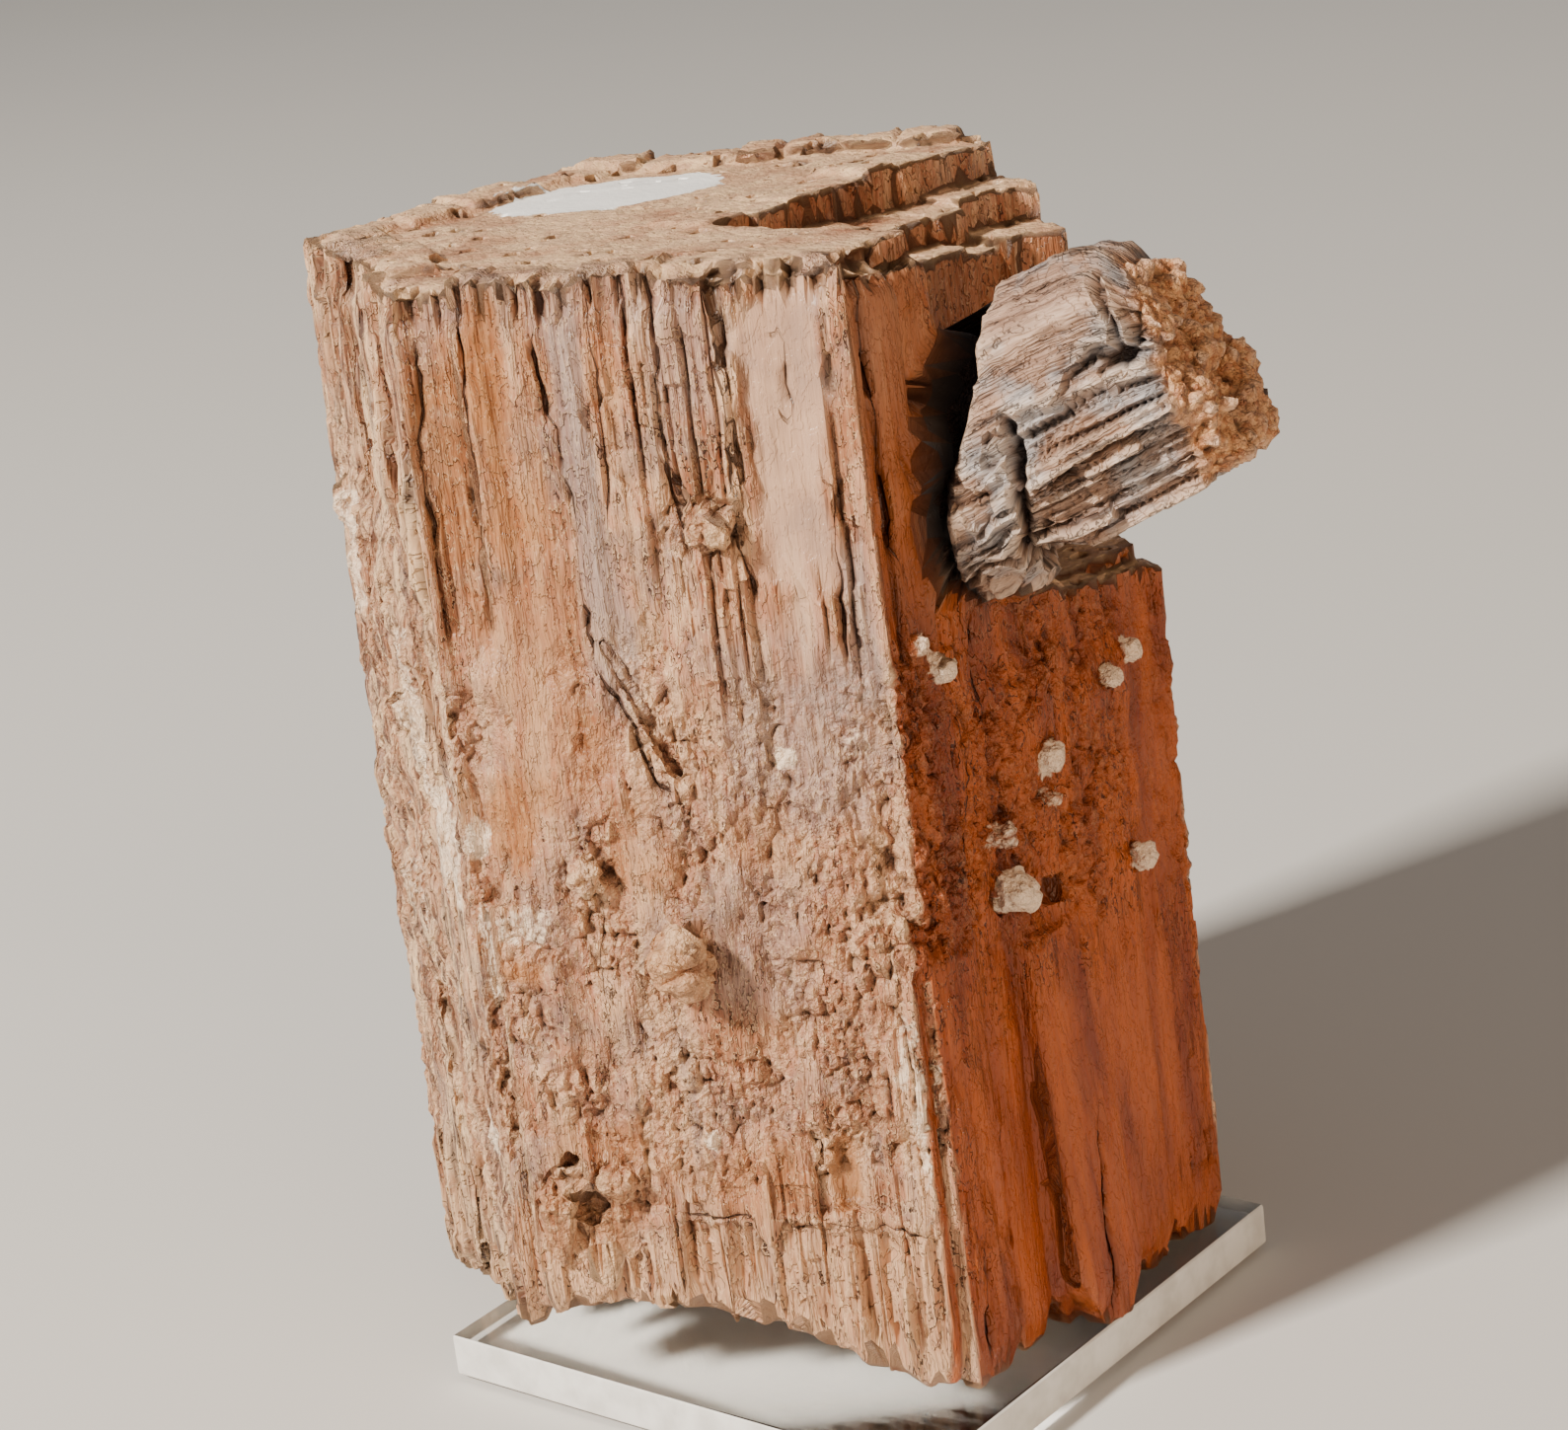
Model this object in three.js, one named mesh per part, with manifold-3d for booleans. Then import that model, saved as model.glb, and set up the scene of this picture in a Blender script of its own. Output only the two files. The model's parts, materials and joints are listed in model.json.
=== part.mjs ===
// A pseudo-hexagonal aragonite twin, with a smaller crystal grown out of its right side, standing on a
// clear square display plate. Millimetres, +Z up, origin at the centre of the plate's underside.
import * as THREE from 'three';
import { mergeVertices } from 'three/addons/utils/BufferGeometryUtils.js';
import Module from 'manifold-3d';

const wasm = await Module();
wasm.setup();

// Display plate
const PLATE_SIDE = 40;
const PLATE_THICK = 3;
const PLATE_BEVEL = 0.3;
const REST_GAP = 0.05;

// Main prism: a bundle of parallel sub-crystals round a core
const CORNER_RADIUS = 27.9;
const FACE = CORNER_RADIUS * Math.cos(Math.PI / 6);
const HALF_SIDE = CORNER_RADIUS / 2;
const HEIGHT = 72.4;
const CORE_INSET = 1.5;
const CORE_FOOT = 5.2;
const BAR_DEPTH = 5;
const BAR_CHAMFER = 0.35;
const CRACK = 0.12;

// Where the prism stands on the plate, how it is turned, and how far it leans back
const STAND_AT = new THREE.Vector3(-6.7, 5.0, PLATE_THICK);
const TURN = THREE.MathUtils.degToRad(26.4);
const LEAN = THREE.MathUtils.degToRad(2.75);
const LEAN_AXIS = new THREE.Vector3(Math.cos(0.704), Math.sin(0.704), 0);

// Stepped upper right corner: growth layers parallel to the right side, each lower than the last.
// Every layer ends at a distance from the prism's axis and has its own top.
const LAYERS = [
  { end: 6.4, top: HEIGHT },
  { end: 10.3, top: 70.0 },
  { end: 13.4, top: 67.4 },
];
const SHELF_TOP = 48.5;
const STEP_FROM = -5;

// Side crystal: root and end of its axis in the prism's own frame, and its cross-section
const SIDE_ROOT = new THREE.Vector3(10.8, -11.9, 51.6);
const SIDE_END = new THREE.Vector3(34.4, -15.0, 63.0);
const SIDE_SECTION = [
  [-1, 7.4], [4.4, 6.0], [6.8, 0.4], [5.2, -5.4], [0.5, -7.7], [-5.5, -5.6], [-6.3, 3.6],
];

// Widths of the bars along each of the six sides, from the left end to the right end of the side
// as it is seen from outside, starting with the front side and going round to the right.
const BAR_WIDTHS = [
  [3.4, 2.2, 3.7, 2.0, 1.8, 3.4, 3.5, 6.3, 1.6],
  [1.4, 3.5, 4.0, 4.2, 5.2, 3.5, 6.1],
  [3.1, 7.0, 5.2, 7.4, 5.2],
  [4.4, 8.4, 3.0, 7.1, 5.0],
  [6.3, 3.7, 7.0, 5.4, 5.5],
  [5.7, 4.8, 8.9, 3.1, 5.4],
];

// Height of the broken foot along each side, at the side's left end, middle and right end
const FOOT_LINES = [
  [5.0, 4.4, -0.9],
  [-1.5, -1.9, -1.2],
  [-0.6, 1.2, 2.6],
  [2.2, 3.4, 1.6],
  [1.4, 2.8, 0.2],
  [-1.7, 0.4, 4.6],
];

// How far the rim of each side stands above the flat top
const RIM_LIFT = [0, 0, 0, 0.5, 0.7, 0.2];

// How far the bars of each side spread outwards at the foot
const FOOT_SPREAD = [0, 1.2, 0.2, 0.3, 0.3, 0.7];

// Repeatable scatter between 0 and 1
let seed = 20;
const scatter = () => {
  seed = (seed * 16807) % 2147483647;
  return seed / 2147483647;
};
const between = (low, high) => low + (high - low) * scatter();

// Prism frame to part frame
const PLACE = new THREE.Matrix4()
  .makeTranslation(STAND_AT)
  .multiply(new THREE.Matrix4().makeRotationAxis(LEAN_AXIS, -LEAN))
  .multiply(new THREE.Matrix4().makeRotationZ(TURN));

// Solids and booleans
const toSolid = (geometry) => {
  const bare = geometry.clone();
  bare.deleteAttribute('normal');
  bare.deleteAttribute('uv');
  const merged = mergeVertices(bare, 1e-4);
  return new wasm.Manifold(new wasm.Mesh({
    numProp: 3,
    vertProperties: new Float32Array(merged.attributes.position.array),
    triVerts: new Uint32Array(merged.index.array),
  }));
};

const toGeometry = (solid) => {
  const mesh = solid.getMesh();
  const geometry = new THREE.BufferGeometry();
  geometry.setAttribute('position', new THREE.BufferAttribute(new Float32Array(mesh.vertProperties), 3));
  geometry.setIndex(new THREE.BufferAttribute(new Uint32Array(mesh.triVerts), 1));
  geometry.computeVertexNormals();
  return geometry;
};

const join = (solids) => solids.reduce((all, solid) => all.add(solid));

// Frame of one straight side: `out` points away from the axis, `along` runs to the right
const sideFrame = (index) => {
  const angle = index * Math.PI / 3;
  return {
    out: new THREE.Vector2(Math.sin(angle), -Math.cos(angle)),
    along: new THREE.Vector2(Math.cos(angle), Math.sin(angle)),
    face: FACE,
  };
};
const SIDES = BAR_WIDTHS.map((_, index) => sideFrame(index));
const STEPPED = SIDES[1];

// One sub-crystal: a chamfered bar along the axis, tapered to a blunt tooth at its foot
const BAR = { depth: BAR_DEPTH, flare: 0, tooth: 0.45, buried: false, sharp: false };
const bar = (side, options) => {
  const { at, width, face, foot, top, depth, flare, tooth, buried, sharp } = { ...BAR, ...options };
  const half = width / 2;
  const chamfer = Math.min(BAR_CHAMFER, width * 0.2);
  const front = sharp
    ? [[half, 0], [-half, 0]]
    : [[half, -chamfer], [half - chamfer, 0], [chamfer - half, 0], [-half, -chamfer]];
  const outline = new THREE.Shape(
    [[-half, -depth], [half, -depth], ...front].map(([x, y]) => new THREE.Vector2(x, y)),
  );
  const head = [
    { w: top - 0.45, size: 1, push: 0 },
    { w: top, size: 0.9, push: 0 },
  ];
  const toe = [
    { w: foot, size: tooth, push: flare },
    { w: foot + width * 0.4 + 1.2, size: 1, push: flare * 0.9 },
  ];
  const rings = [...(buried ? [{ w: foot, size: 1, push: 0 }] : toe), ...head];
  const steps = rings.length - 1;
  const geometry = new THREE.ExtrudeGeometry(outline, { depth: steps, steps, bevelEnabled: false });
  const position = geometry.attributes.position;
  for (let i = 0; i < position.count; i += 1) {
    const ring = rings[Math.round(position.getZ(i))];
    const across = at - position.getX(i) * ring.size;
    const outward = face + ring.push + position.getY(i) * ring.size - (1 - ring.size) * 0.9;
    position.setXYZ(
      i,
      side.along.x * across + side.out.x * outward,
      side.along.y * across + side.out.y * outward,
      ring.w,
    );
  }
  return toSolid(geometry);
};

// A row of bars side by side along one side
const row = (side, widths, describe) => {
  let start = -widths.reduce((sum, width) => sum + width, 0) / 2;
  return widths.map((width) => {
    const at = start + width / 2;
    start += width;
    return bar(side, { at, width: width - CRACK, ...describe(at, width) });
  });
};

// A crusty lump: an uneven polyhedron flattened against the surface it grew on
const lump = (centre, size, detail = 1) => {
  const geometry = new THREE.IcosahedronGeometry(1, detail);
  geometry.deleteAttribute('normal');
  geometry.deleteAttribute('uv');
  const merged = mergeVertices(geometry, 1e-4);
  const position = merged.attributes.position;
  for (let i = 0; i < position.count; i += 1) {
    const swell = between(0.82, 1.12);
    position.setXYZ(
      i,
      centre.x + position.getX(i) * size.x * swell,
      centre.y + position.getY(i) * size.y * swell,
      centre.z + position.getZ(i) * size.z * swell,
    );
  }
  return toSolid(merged);
};

// A point on a straight side, `across` to the right of its middle and `w` up
const onSide = (side, across, w, lift = 0) => new THREE.Vector3(
  side.along.x * across + side.out.x * (side.face + lift),
  side.along.y * across + side.out.y * (side.face + lift),
  w,
);

const footAt = (line, at) => {
  const [left, middle, right] = line;
  const share = at / HALF_SIDE;
  return share < 0 ? middle + (left - middle) * -share : middle + (right - middle) * share;
};

// Top of the prism over a point, stepped down towards the right side
const topAt = (x, y) => {
  const out = STEPPED.out.x * x + STEPPED.out.y * y;
  const along = STEPPED.along.x * x + STEPPED.along.y * y;
  if (along < STEP_FROM) {
    return out > 15 ? HEIGHT - 0.5 - 0.22 * Math.max(0, along + HALF_SIDE) : HEIGHT;
  }
  const layer = LAYERS.find((one) => out < one.end);
  return layer ? layer.top : SHELF_TOP - 0.16 * Math.max(0, along);
};

// Core
const hexagon = new THREE.Shape(
  SIDES.map((_, index) => {
    const angle = Math.PI / 6 + index * Math.PI / 3;
    const radius = CORNER_RADIUS - CORE_INSET * 1.15;
    return new THREE.Vector2(radius * Math.sin(angle), -radius * Math.cos(angle));
  }),
);
const core = new THREE.ExtrudeGeometry(hexagon, { depth: HEIGHT - 0.35 - CORE_FOOT, bevelEnabled: false });
core.translate(0, 0, CORE_FOOT);

const stepCuts = LAYERS.map((layer, index) => {
  const ground = index + 1 < LAYERS.length ? LAYERS[index + 1].top : SHELF_TOP;
  const cut = new THREE.BoxGeometry(60, 60, 40);
  cut.translate(30 + STEP_FROM - 0.6, -30 - layer.end + 0.9, 20 + ground - 0.8);
  cut.rotateZ(Math.PI / 3);
  return toSolid(cut);
});
const body = toSolid(core).subtract(join(stepCuts));

// Bars of the six sides
const bars = SIDES.flatMap((side, index) => row(side, BAR_WIDTHS[index], (at, width) => {
  const inside = side.face - 1.6;
  const x = side.along.x * at + side.out.x * inside;
  const y = side.along.y * at + side.out.y * inside;
  return {
    face: side.face + between(-0.75, 0.25),
    foot: footAt(FOOT_LINES[index], at) + between(-0.5, 1.1),
    top: topAt(x, y) + RIM_LIFT[index] + between(-0.65, 0.3),
    flare: FOOT_SPREAD[index],
    tooth: between(0.3, 0.6),
    sharp: index > 1,
  };
}));

// Fluted walls of the stepped layers, buried at the foot in the layer below
const walls = LAYERS.flatMap((layer, index) => {
  const widths = Array.from({ length: 7 }, () => between(2.8, 5.4));
  const span = widths.reduce((sum, width) => sum + width, 0);
  const centre = STEP_FROM + span / 2 - 1.5;
  return row(STEPPED, widths, (at) => ({
    at: at + centre,
    face: layer.end + between(-0.5, 0.35),
    foot: SHELF_TOP - 8 - index,
    top: layer.top + between(-0.55, 0.35),
    depth: 5.5,
    buried: true,
    sharp: true,
  }));
});
const hexagonBound = new THREE.ExtrudeGeometry(
  new THREE.Shape(hexagon.getPoints().map((point) => point.clone().multiplyScalar(1.055))),
  { depth: 90, bevelEnabled: false },
);
const steppedCorner = join(walls).intersect(toSolid(hexagonBound));

// Later layers that cover only the lower part of a side, with their tops at different heights
const GROWTHS = [
  { side: 0, at: -10.8, width: 4.8, top: 33, out: 0.9 },
  { side: 0, at: 12.0, width: 3.6, top: 31, out: 0.9 },
  { side: 1, at: -11.7, width: 3.2, top: 30, out: 0.7, flare: 0.5 },
  { side: 1, at: -1.6, width: 6.2, top: 26, out: 0.8, flare: 2.6 },
  { side: 1, at: 5.2, width: 3.4, top: 29, out: 0.4, flare: 0.8 },
  { side: 2, at: -8.6, width: 4.6, top: 41, out: 0.3 },
  { side: 3, at: 9.4, width: 4.2, top: 48, out: 0.6 },
  { side: 4, at: -9.4, width: 5.8, top: 36, out: 0.6 },
];
const growths = GROWTHS.map(({ side, at, width, top, out, flare = 0 }) => bar(SIDES[side], {
  at,
  width,
  face: FACE + out,
  foot: footAt(FOOT_LINES[side], at) + between(0.2, 1.4),
  top,
  depth: 4,
  flare,
}));

// A crust over part of a side: an uneven sheet whose ragged rim sinks into the side
const CRUST_CELL = 3.3;
const crust = ({ side: index, left, right, low, high, out, bump }) => {
  const side = SIDES[index];
  const columns = Math.round((right - left) / CRUST_CELL);
  const rows = Math.round((high - low) / CRUST_CELL);
  const sheet = new THREE.BoxGeometry(columns, 2, rows, columns, 1, rows);
  sheet.deleteAttribute('normal');
  sheet.deleteAttribute('uv');
  const merged = mergeVertices(sheet, 1e-4);
  const position = merged.attributes.position;
  for (let i = 0; i < position.count; i += 1) {
    const column = position.getX(i) + columns / 2;
    const level = position.getZ(i) + rows / 2;
    const rim = Math.min(column, columns - column, level, rows - level);
    const outer = position.getY(i) < 0;
    const rise = rim < 0.5 ? -1.1 : out * Math.min(1, rim / 2) + between(-bump, bump);
    const outward = FACE + (outer ? rise : -3);
    const across = left + (right - left) * column / columns + between(-0.6, 0.6);
    const up = low + (high - low) * level / rows + between(-0.7, 0.7);
    position.setXYZ(
      i,
      side.along.x * across + side.out.x * outward,
      side.along.y * across + side.out.y * outward,
      up,
    );
  }
  return toSolid(merged);
};
const CRUSTS = [
  { side: 0, left: -13.4, right: 6.2, low: 8, high: 51, out: 0.6, bump: 0.4 },
  { side: 0, left: 1.5, right: 13.6, low: 14, high: 42, out: 0.55, bump: 0.35 },
  { side: 1, left: -12.5, right: 12, low: 27, high: 46, out: 0.5, bump: 0.3 },
  { side: 2, left: -6, right: 11, low: 14, high: 43, out: 0.55, bump: 0.4 },
  { side: 3, left: -11, right: 6, low: 20, high: 58, out: 0.55, bump: 0.4 },
  { side: 4, left: -4, right: 12.5, low: 9, high: 40, out: 0.55, bump: 0.4 },
  { side: 5, left: -12.8, right: 12.8, low: 20, high: 58, out: 0.7, bump: 0.5 },
];
const crusts = CRUSTS.map(crust);

// Fine teeth under the ledge of the front side
const FRINGE_WIDTHS = [1.9, 1.5, 1.7, 1.4, 2.0, 1.6, 1.3, 1.8, 1.5, 1.9, 1.4, 1.6, 1.7, 1.5, 1.8, 1.6];
const fringe = row(SIDES[0], FRINGE_WIDTHS, (at) => ({
  face: FACE + between(0.15, 0.95),
  foot: footAt(FOOT_LINES[0], at) + between(-0.9, 0.9),
  top: 12.1 - 0.1 * at + between(-0.5, 0.7),
  depth: 3,
}));

// Broken ends of the inner sub-crystals on the underside
const INNER_ENDS = [
  [-15, -4], [-9, -12], [-8, 6], [-2, -4], [-1, 13], [4, -14], [6, 4], [11, -7], [14, 2], [-14, 8],
];
const innerEnds = INNER_ENDS.map(([x, y]) => {
  const radius = between(2.6, 4.2);
  const length = between(4.5, 8.5);
  const end = new THREE.CylinderGeometry(radius, radius * 0.55, length, 6);
  end.rotateX(Math.PI / 2);
  end.rotateZ(scatter());
  end.translate(x, y, CORE_FOOT + 1 - length / 2);
  return toSolid(end);
});

// Small crystals and crusts grown on the sides: side, across, up, half width, half height, stand-off
const KNOBS = [
  [0, -1.2, 29.2, 1.9, 2.8, 1.9], [0, -6.2, 34.7, 1.6, 1.9, 1.4], [0, 4.2, 56.0, 1.7, 1.6, 1.0],
  [0, -11.4, 12.2, 1.6, 1.7, 1.5], [0, -7.1, 14.6, 1.5, 1.3, 1.4], [0, -9.0, 9.8, 1.7, 1.2, 1.3],
  [0, 13.2, 28.6, 1.5, 2.4, 1.0], [0, -0.8, 16.8, 0.9, 1.2, 1.1],
  [1, -9.6, 45.8, 1.1, 0.9, 1.2], [1, -11.2, 47.8, 0.9, 0.8, 0.9], [1, 6.5, 40.5, 1.2, 0.8, 1.2],
  [1, 8.7, 41.6, 0.9, 0.8, 1.1], [1, -0.2, 37.2, 1.1, 0.9, 1.2], [1, -0.2, 34.5, 0.9, 0.8, 1.1],
  [1, -5.8, 33.7, 1.2, 1.0, 1.3], [1, -5.0, 29.8, 1.6, 1.4, 1.6], [1, 7.7, 28.0, 1.1, 1.0, 1.4],
  [5, -9.5, 55.0, 1.8, 2.4, 1.2], [5, 1.0, 43.0, 1.9, 1.7, 1.4], [5, -6.0, 30.0, 1.6, 1.4, 1.2],
  [2, -3.5, 22.0, 1.5, 2.0, 1.3], [3, 7.5, 33.0, 1.4, 1.9, 1.2], [4, -6.0, 41.0, 1.8, 1.5, 1.2],
];
const knobs = KNOBS.map(([index, across, up, halfWidth, halfHeight, standOff]) => {
  const side = SIDES[index];
  const size = new THREE.Vector3(halfWidth, halfWidth, halfHeight);
  return lump(onSide(side, across, up, standOff - halfWidth * 0.8), size, halfWidth > 1.85 ? 1 : 0);
});

// Side crystal, a fluted bundle along its own slanting axis
const sideAxis = SIDE_END.clone().sub(SIDE_ROOT);
const sideLength = sideAxis.length();
const sideFront = new THREE.Vector3(0.24, -0.97, 0);
const SIDE_PLACE = new THREE.Matrix4();
{
  const axis = sideAxis.clone().normalize();
  const front = sideFront.clone().addScaledVector(axis, -sideFront.dot(axis)).normalize();
  const up = axis.clone().cross(front);
  SIDE_PLACE.makeBasis(front, up, axis).setPosition(SIDE_ROOT);
}
const section = SIDE_SECTION.map(([front, up]) => new THREE.Vector2(front, up));
const sideCore = new THREE.ExtrudeGeometry(
  new THREE.Shape(section.map((point) => point.clone().multiplyScalar(0.93))),
  { depth: sideLength - 1.2, bevelEnabled: false },
);
const sideEdges = section.map((from, index) => {
  const to = section[(index + 1) % section.length];
  const along = to.clone().sub(from);
  const half = along.length() / 2;
  along.normalize();
  const out = new THREE.Vector2(along.y, -along.x);
  const middle = from.clone().add(to).multiplyScalar(0.5);
  if (out.dot(middle) < 0) {
    out.negate();
  }
  along.set(-out.y, out.x);
  return { along, out, face: out.dot(middle), half, offset: along.dot(middle) };
});
const sideBars = sideEdges.flatMap((edge) => {
  const count = Math.max(2, Math.round(edge.half * 2 / 3.3));
  const widths = Array.from({ length: count }, () => edge.half * 2 / count);
  return row(edge, widths, (at) => ({
    at: at + edge.offset,
    face: edge.face + between(-0.75, 0.35),
    foot: between(0, 4),
    top: sideLength + between(-2.6, 0.5),
    depth: 3.2,
    buried: true,
  }));
});
const END_LUMPS = [
  [1, 5, 1.9], [4, 1.5, 2.0], [0.5, -1, 2.6], [3, -4.5, 1.8], [-3.5, 2, 2.0], [-2.5, -4, 2.1],
];
const sideEnd = END_LUMPS.map(([front, up, radius]) => lump(
  new THREE.Vector3(front, up, sideLength - 1.3),
  new THREE.Vector3(radius, radius, radius * 0.95),
  0,
));
const rotateToSide = (solid) => {
  const geometry = toGeometry(solid);
  geometry.applyMatrix4(SIDE_PLACE);
  return toSolid(geometry);
};
const sideCrystal = rotateToSide(join([toSolid(sideCore), ...sideBars, ...sideEnd]));

// Blocky lump wedged between the side crystal's root and the prism
const WEDGE = [
  { at: new THREE.Vector3(18.6, -15.6, 52.2), size: new THREE.Vector3(3.4, 3.0, 4.3) },
  { at: new THREE.Vector3(20.6, -13.6, 50.2), size: new THREE.Vector3(2.8, 2.6, 2.6) },
];
const wedge = WEDGE.map(({ at, size }) => lump(at, size));

// Pits, a slanting crevice and a bite in the shelf
const PITS = [
  { side: 0, across: 6.4, up: 13.4, size: [0.75, 2.2] },
  { side: 0, across: -9.2, up: 12.4, size: [1.5, 1.4] },
  { side: 0, across: -10.2, up: 15.6, size: [1.0, 0.9] },
  { side: 0, across: 8.6, up: 44.0, size: [0.7, 1.3] },
  { side: 1, across: -0.7, up: 28.2, size: [1.0, 0.9] },
  { side: 1, across: 4.3, up: 48.6, size: [2.2, 2.4] },
  { side: 3, across: 0.5, up: 41.0, size: [1.3, 1.8] },
  { side: 4, across: -4.5, up: 26.0, size: [1.2, 1.6] },
];
const pits = PITS.map(({ side, across, up, size: [halfWidth, halfHeight] }) => lump(
  onSide(SIDES[side], across, up, 0.5),
  new THREE.Vector3(halfWidth, halfWidth, halfHeight),
  0,
));
const crevice = new THREE.BoxGeometry(0.7, 3.4, 9.6);
crevice.rotateY(THREE.MathUtils.degToRad(-24.6));
crevice.translate(-1.6, -FACE, 45.3);

// The specimen as one solid, set down on the plate
const grown = join([
  body, steppedCorner, ...bars, ...growths, ...crusts, ...fringe, ...innerEnds, ...knobs, sideCrystal,
  ...wedge,
]);
const carved = join(pits.concat(toSolid(crevice)));
const specimen = toGeometry(grown.subtract(carved));
specimen.applyMatrix4(PLACE);
const standing = new THREE.BoxGeometry(PLATE_SIDE + 0.6, PLATE_SIDE + 0.6, 20);
standing.translate(0, 0, PLATE_THICK + REST_GAP - 10);
const crystalGeometry = toGeometry(toSolid(specimen).subtract(toSolid(standing)));

const crystal = new THREE.Mesh(
  crystalGeometry,
  new THREE.MeshStandardMaterial({ color: 0xb98560, roughness: 0.62, metalness: 0 }),
);
crystal.name = 'crystal';

// Plate with lightly bevelled edges
const inner = PLATE_SIDE / 2 - PLATE_BEVEL;
const square = new THREE.Shape([
  new THREE.Vector2(-inner, -inner),
  new THREE.Vector2(inner, -inner),
  new THREE.Vector2(inner, inner),
  new THREE.Vector2(-inner, inner),
]);
const plateGeometry = new THREE.ExtrudeGeometry(square, {
  depth: PLATE_THICK - 2 * PLATE_BEVEL,
  bevelEnabled: true,
  bevelThickness: PLATE_BEVEL,
  bevelSize: PLATE_BEVEL,
  bevelSegments: 1,
});
plateGeometry.translate(0, 0, PLATE_BEVEL);
const plate = new THREE.Mesh(
  plateGeometry,
  new THREE.MeshStandardMaterial({ color: 0xe6e4de, roughness: 0.2, metalness: 0 }),
);
plate.name = 'display_plate';

const part = new THREE.Group();
part.add(plate, crystal);

export default part;
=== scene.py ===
"""Looks of an aragonite twin with a smaller crystal on its side, on a clear display plate.

Metres, +Z up, origin at the centre of the plate's underside. Sizes inside the crystal's
classes are millimetres in the prism's own frame: u to the right along the front side,
v away from the front side, w up the prism.
"""

import functools
import itertools
import json
import logging
import math
from collections.abc import Callable
from dataclasses import dataclass
from enum import Enum

import bpy
import numpy as np
from mathutils import Matrix, Vector

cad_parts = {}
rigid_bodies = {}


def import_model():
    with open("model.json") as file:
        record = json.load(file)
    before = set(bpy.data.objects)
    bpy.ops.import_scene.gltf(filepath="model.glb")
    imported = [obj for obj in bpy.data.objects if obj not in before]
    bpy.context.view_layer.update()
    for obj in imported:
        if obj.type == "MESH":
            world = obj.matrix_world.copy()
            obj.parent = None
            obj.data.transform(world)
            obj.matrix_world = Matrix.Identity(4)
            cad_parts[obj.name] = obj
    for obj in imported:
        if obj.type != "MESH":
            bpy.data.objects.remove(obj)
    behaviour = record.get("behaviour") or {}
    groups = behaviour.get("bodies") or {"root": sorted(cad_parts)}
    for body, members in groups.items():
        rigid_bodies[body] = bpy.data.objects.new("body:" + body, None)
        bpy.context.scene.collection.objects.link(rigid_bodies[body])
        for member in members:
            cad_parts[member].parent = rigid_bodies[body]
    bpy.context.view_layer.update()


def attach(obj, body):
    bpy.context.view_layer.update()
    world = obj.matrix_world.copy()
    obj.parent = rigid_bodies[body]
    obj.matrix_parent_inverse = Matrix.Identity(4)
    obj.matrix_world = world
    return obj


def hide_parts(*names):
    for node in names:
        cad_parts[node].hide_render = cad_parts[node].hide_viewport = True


LOG = logging.getLogger("aragonite")
MM = 0.001

# Half widths from a crack at which it no longer counts
FAR = 9.0

# Deepest cut and highest rise of the surface growth, in mm
RELIEF_RANGE = (-1.4, 0.95)

Colour = tuple[float, float, float, float]
Socket = bpy.types.NodeSocket


class Side(Enum):
    """The prism's six sides, going round to the right from the front."""

    FRONT = 0
    RIGHT = 1
    BACK_RIGHT = 2
    BACK = 3
    BACK_LEFT = 4
    LEFT = 5


class Kind(Enum):
    """What a patch of the surface is."""

    POLISHED = "polished"
    MAUVE = "mauve"
    AMBER = "amber"
    CHALK = "chalk"
    CRUST = "crust"


# Colour and scatter


def tone(red: int, green: int, blue: int) -> Colour:
    """Colour as it is seen, 0 to 255, as the linear colour that a shader takes."""

    def linear(level: int) -> float:
        """One channel."""
        share = level / 255
        return share / 12.92 if share <= 0.04045 else ((share + 0.055) / 1.055) ** 2.4

    return linear(red), linear(green), linear(blue), 1.0


def lattice(cells: np.ndarray, seed: int) -> np.ndarray:
    """Repeatable scatter for whole-number places.

    Args:
        cells: One row of whole numbers for each place.
        seed: Picks the pattern.

    Returns:
        A number from 0 to 1 for each row.
    """
    mixed = np.full(len(cells), (seed * 2654435761) % 4294967296, np.uint32)
    for column in cells.T:
        mixed = mixed ^ column.astype(np.int32).view(np.uint32)
        mixed = (mixed ^ (mixed >> np.uint32(16))) * np.uint32(2246822507)
        mixed = (mixed ^ (mixed >> np.uint32(13))) * np.uint32(3266489909)
        mixed = mixed ^ (mixed >> np.uint32(16))
    return mixed / 4294967296.0


def noise(points: np.ndarray, seed: int) -> np.ndarray:
    """Smooth scatter from -1 to 1 with a feature about one unit across.

    Args:
        points: One row of coordinates for each place.
        seed: Picks the pattern.

    Returns:
        A number for each row.
    """
    base = np.floor(points)
    share = points - base
    share = share * share * share * (share * (share * 6 - 15) + 10)
    total = np.zeros(len(points))
    for corner in itertools.product((0, 1), repeat=points.shape[1]):
        picks = np.array(corner, bool)
        weight = np.where(picks, share, 1 - share).prod(axis=1)
        total += weight * lattice(base + corner, seed)
    return total * 2 - 1


def layered(points: np.ndarray, seed: int, layers: int = 3) -> np.ndarray:
    """Noise with finer and weaker noise on top of it.

    Args:
        points: One row of coordinates for each place.
        seed: Picks the pattern.
        layers: How many sizes are added.

    Returns:
        A number from about -1 to 1 for each row.
    """
    weights = [0.5**step for step in range(layers)]
    parts = [noise(points * 2**step, seed + step) * weight for step, weight in enumerate(weights)]
    return sum(parts) / sum(weights)


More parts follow.
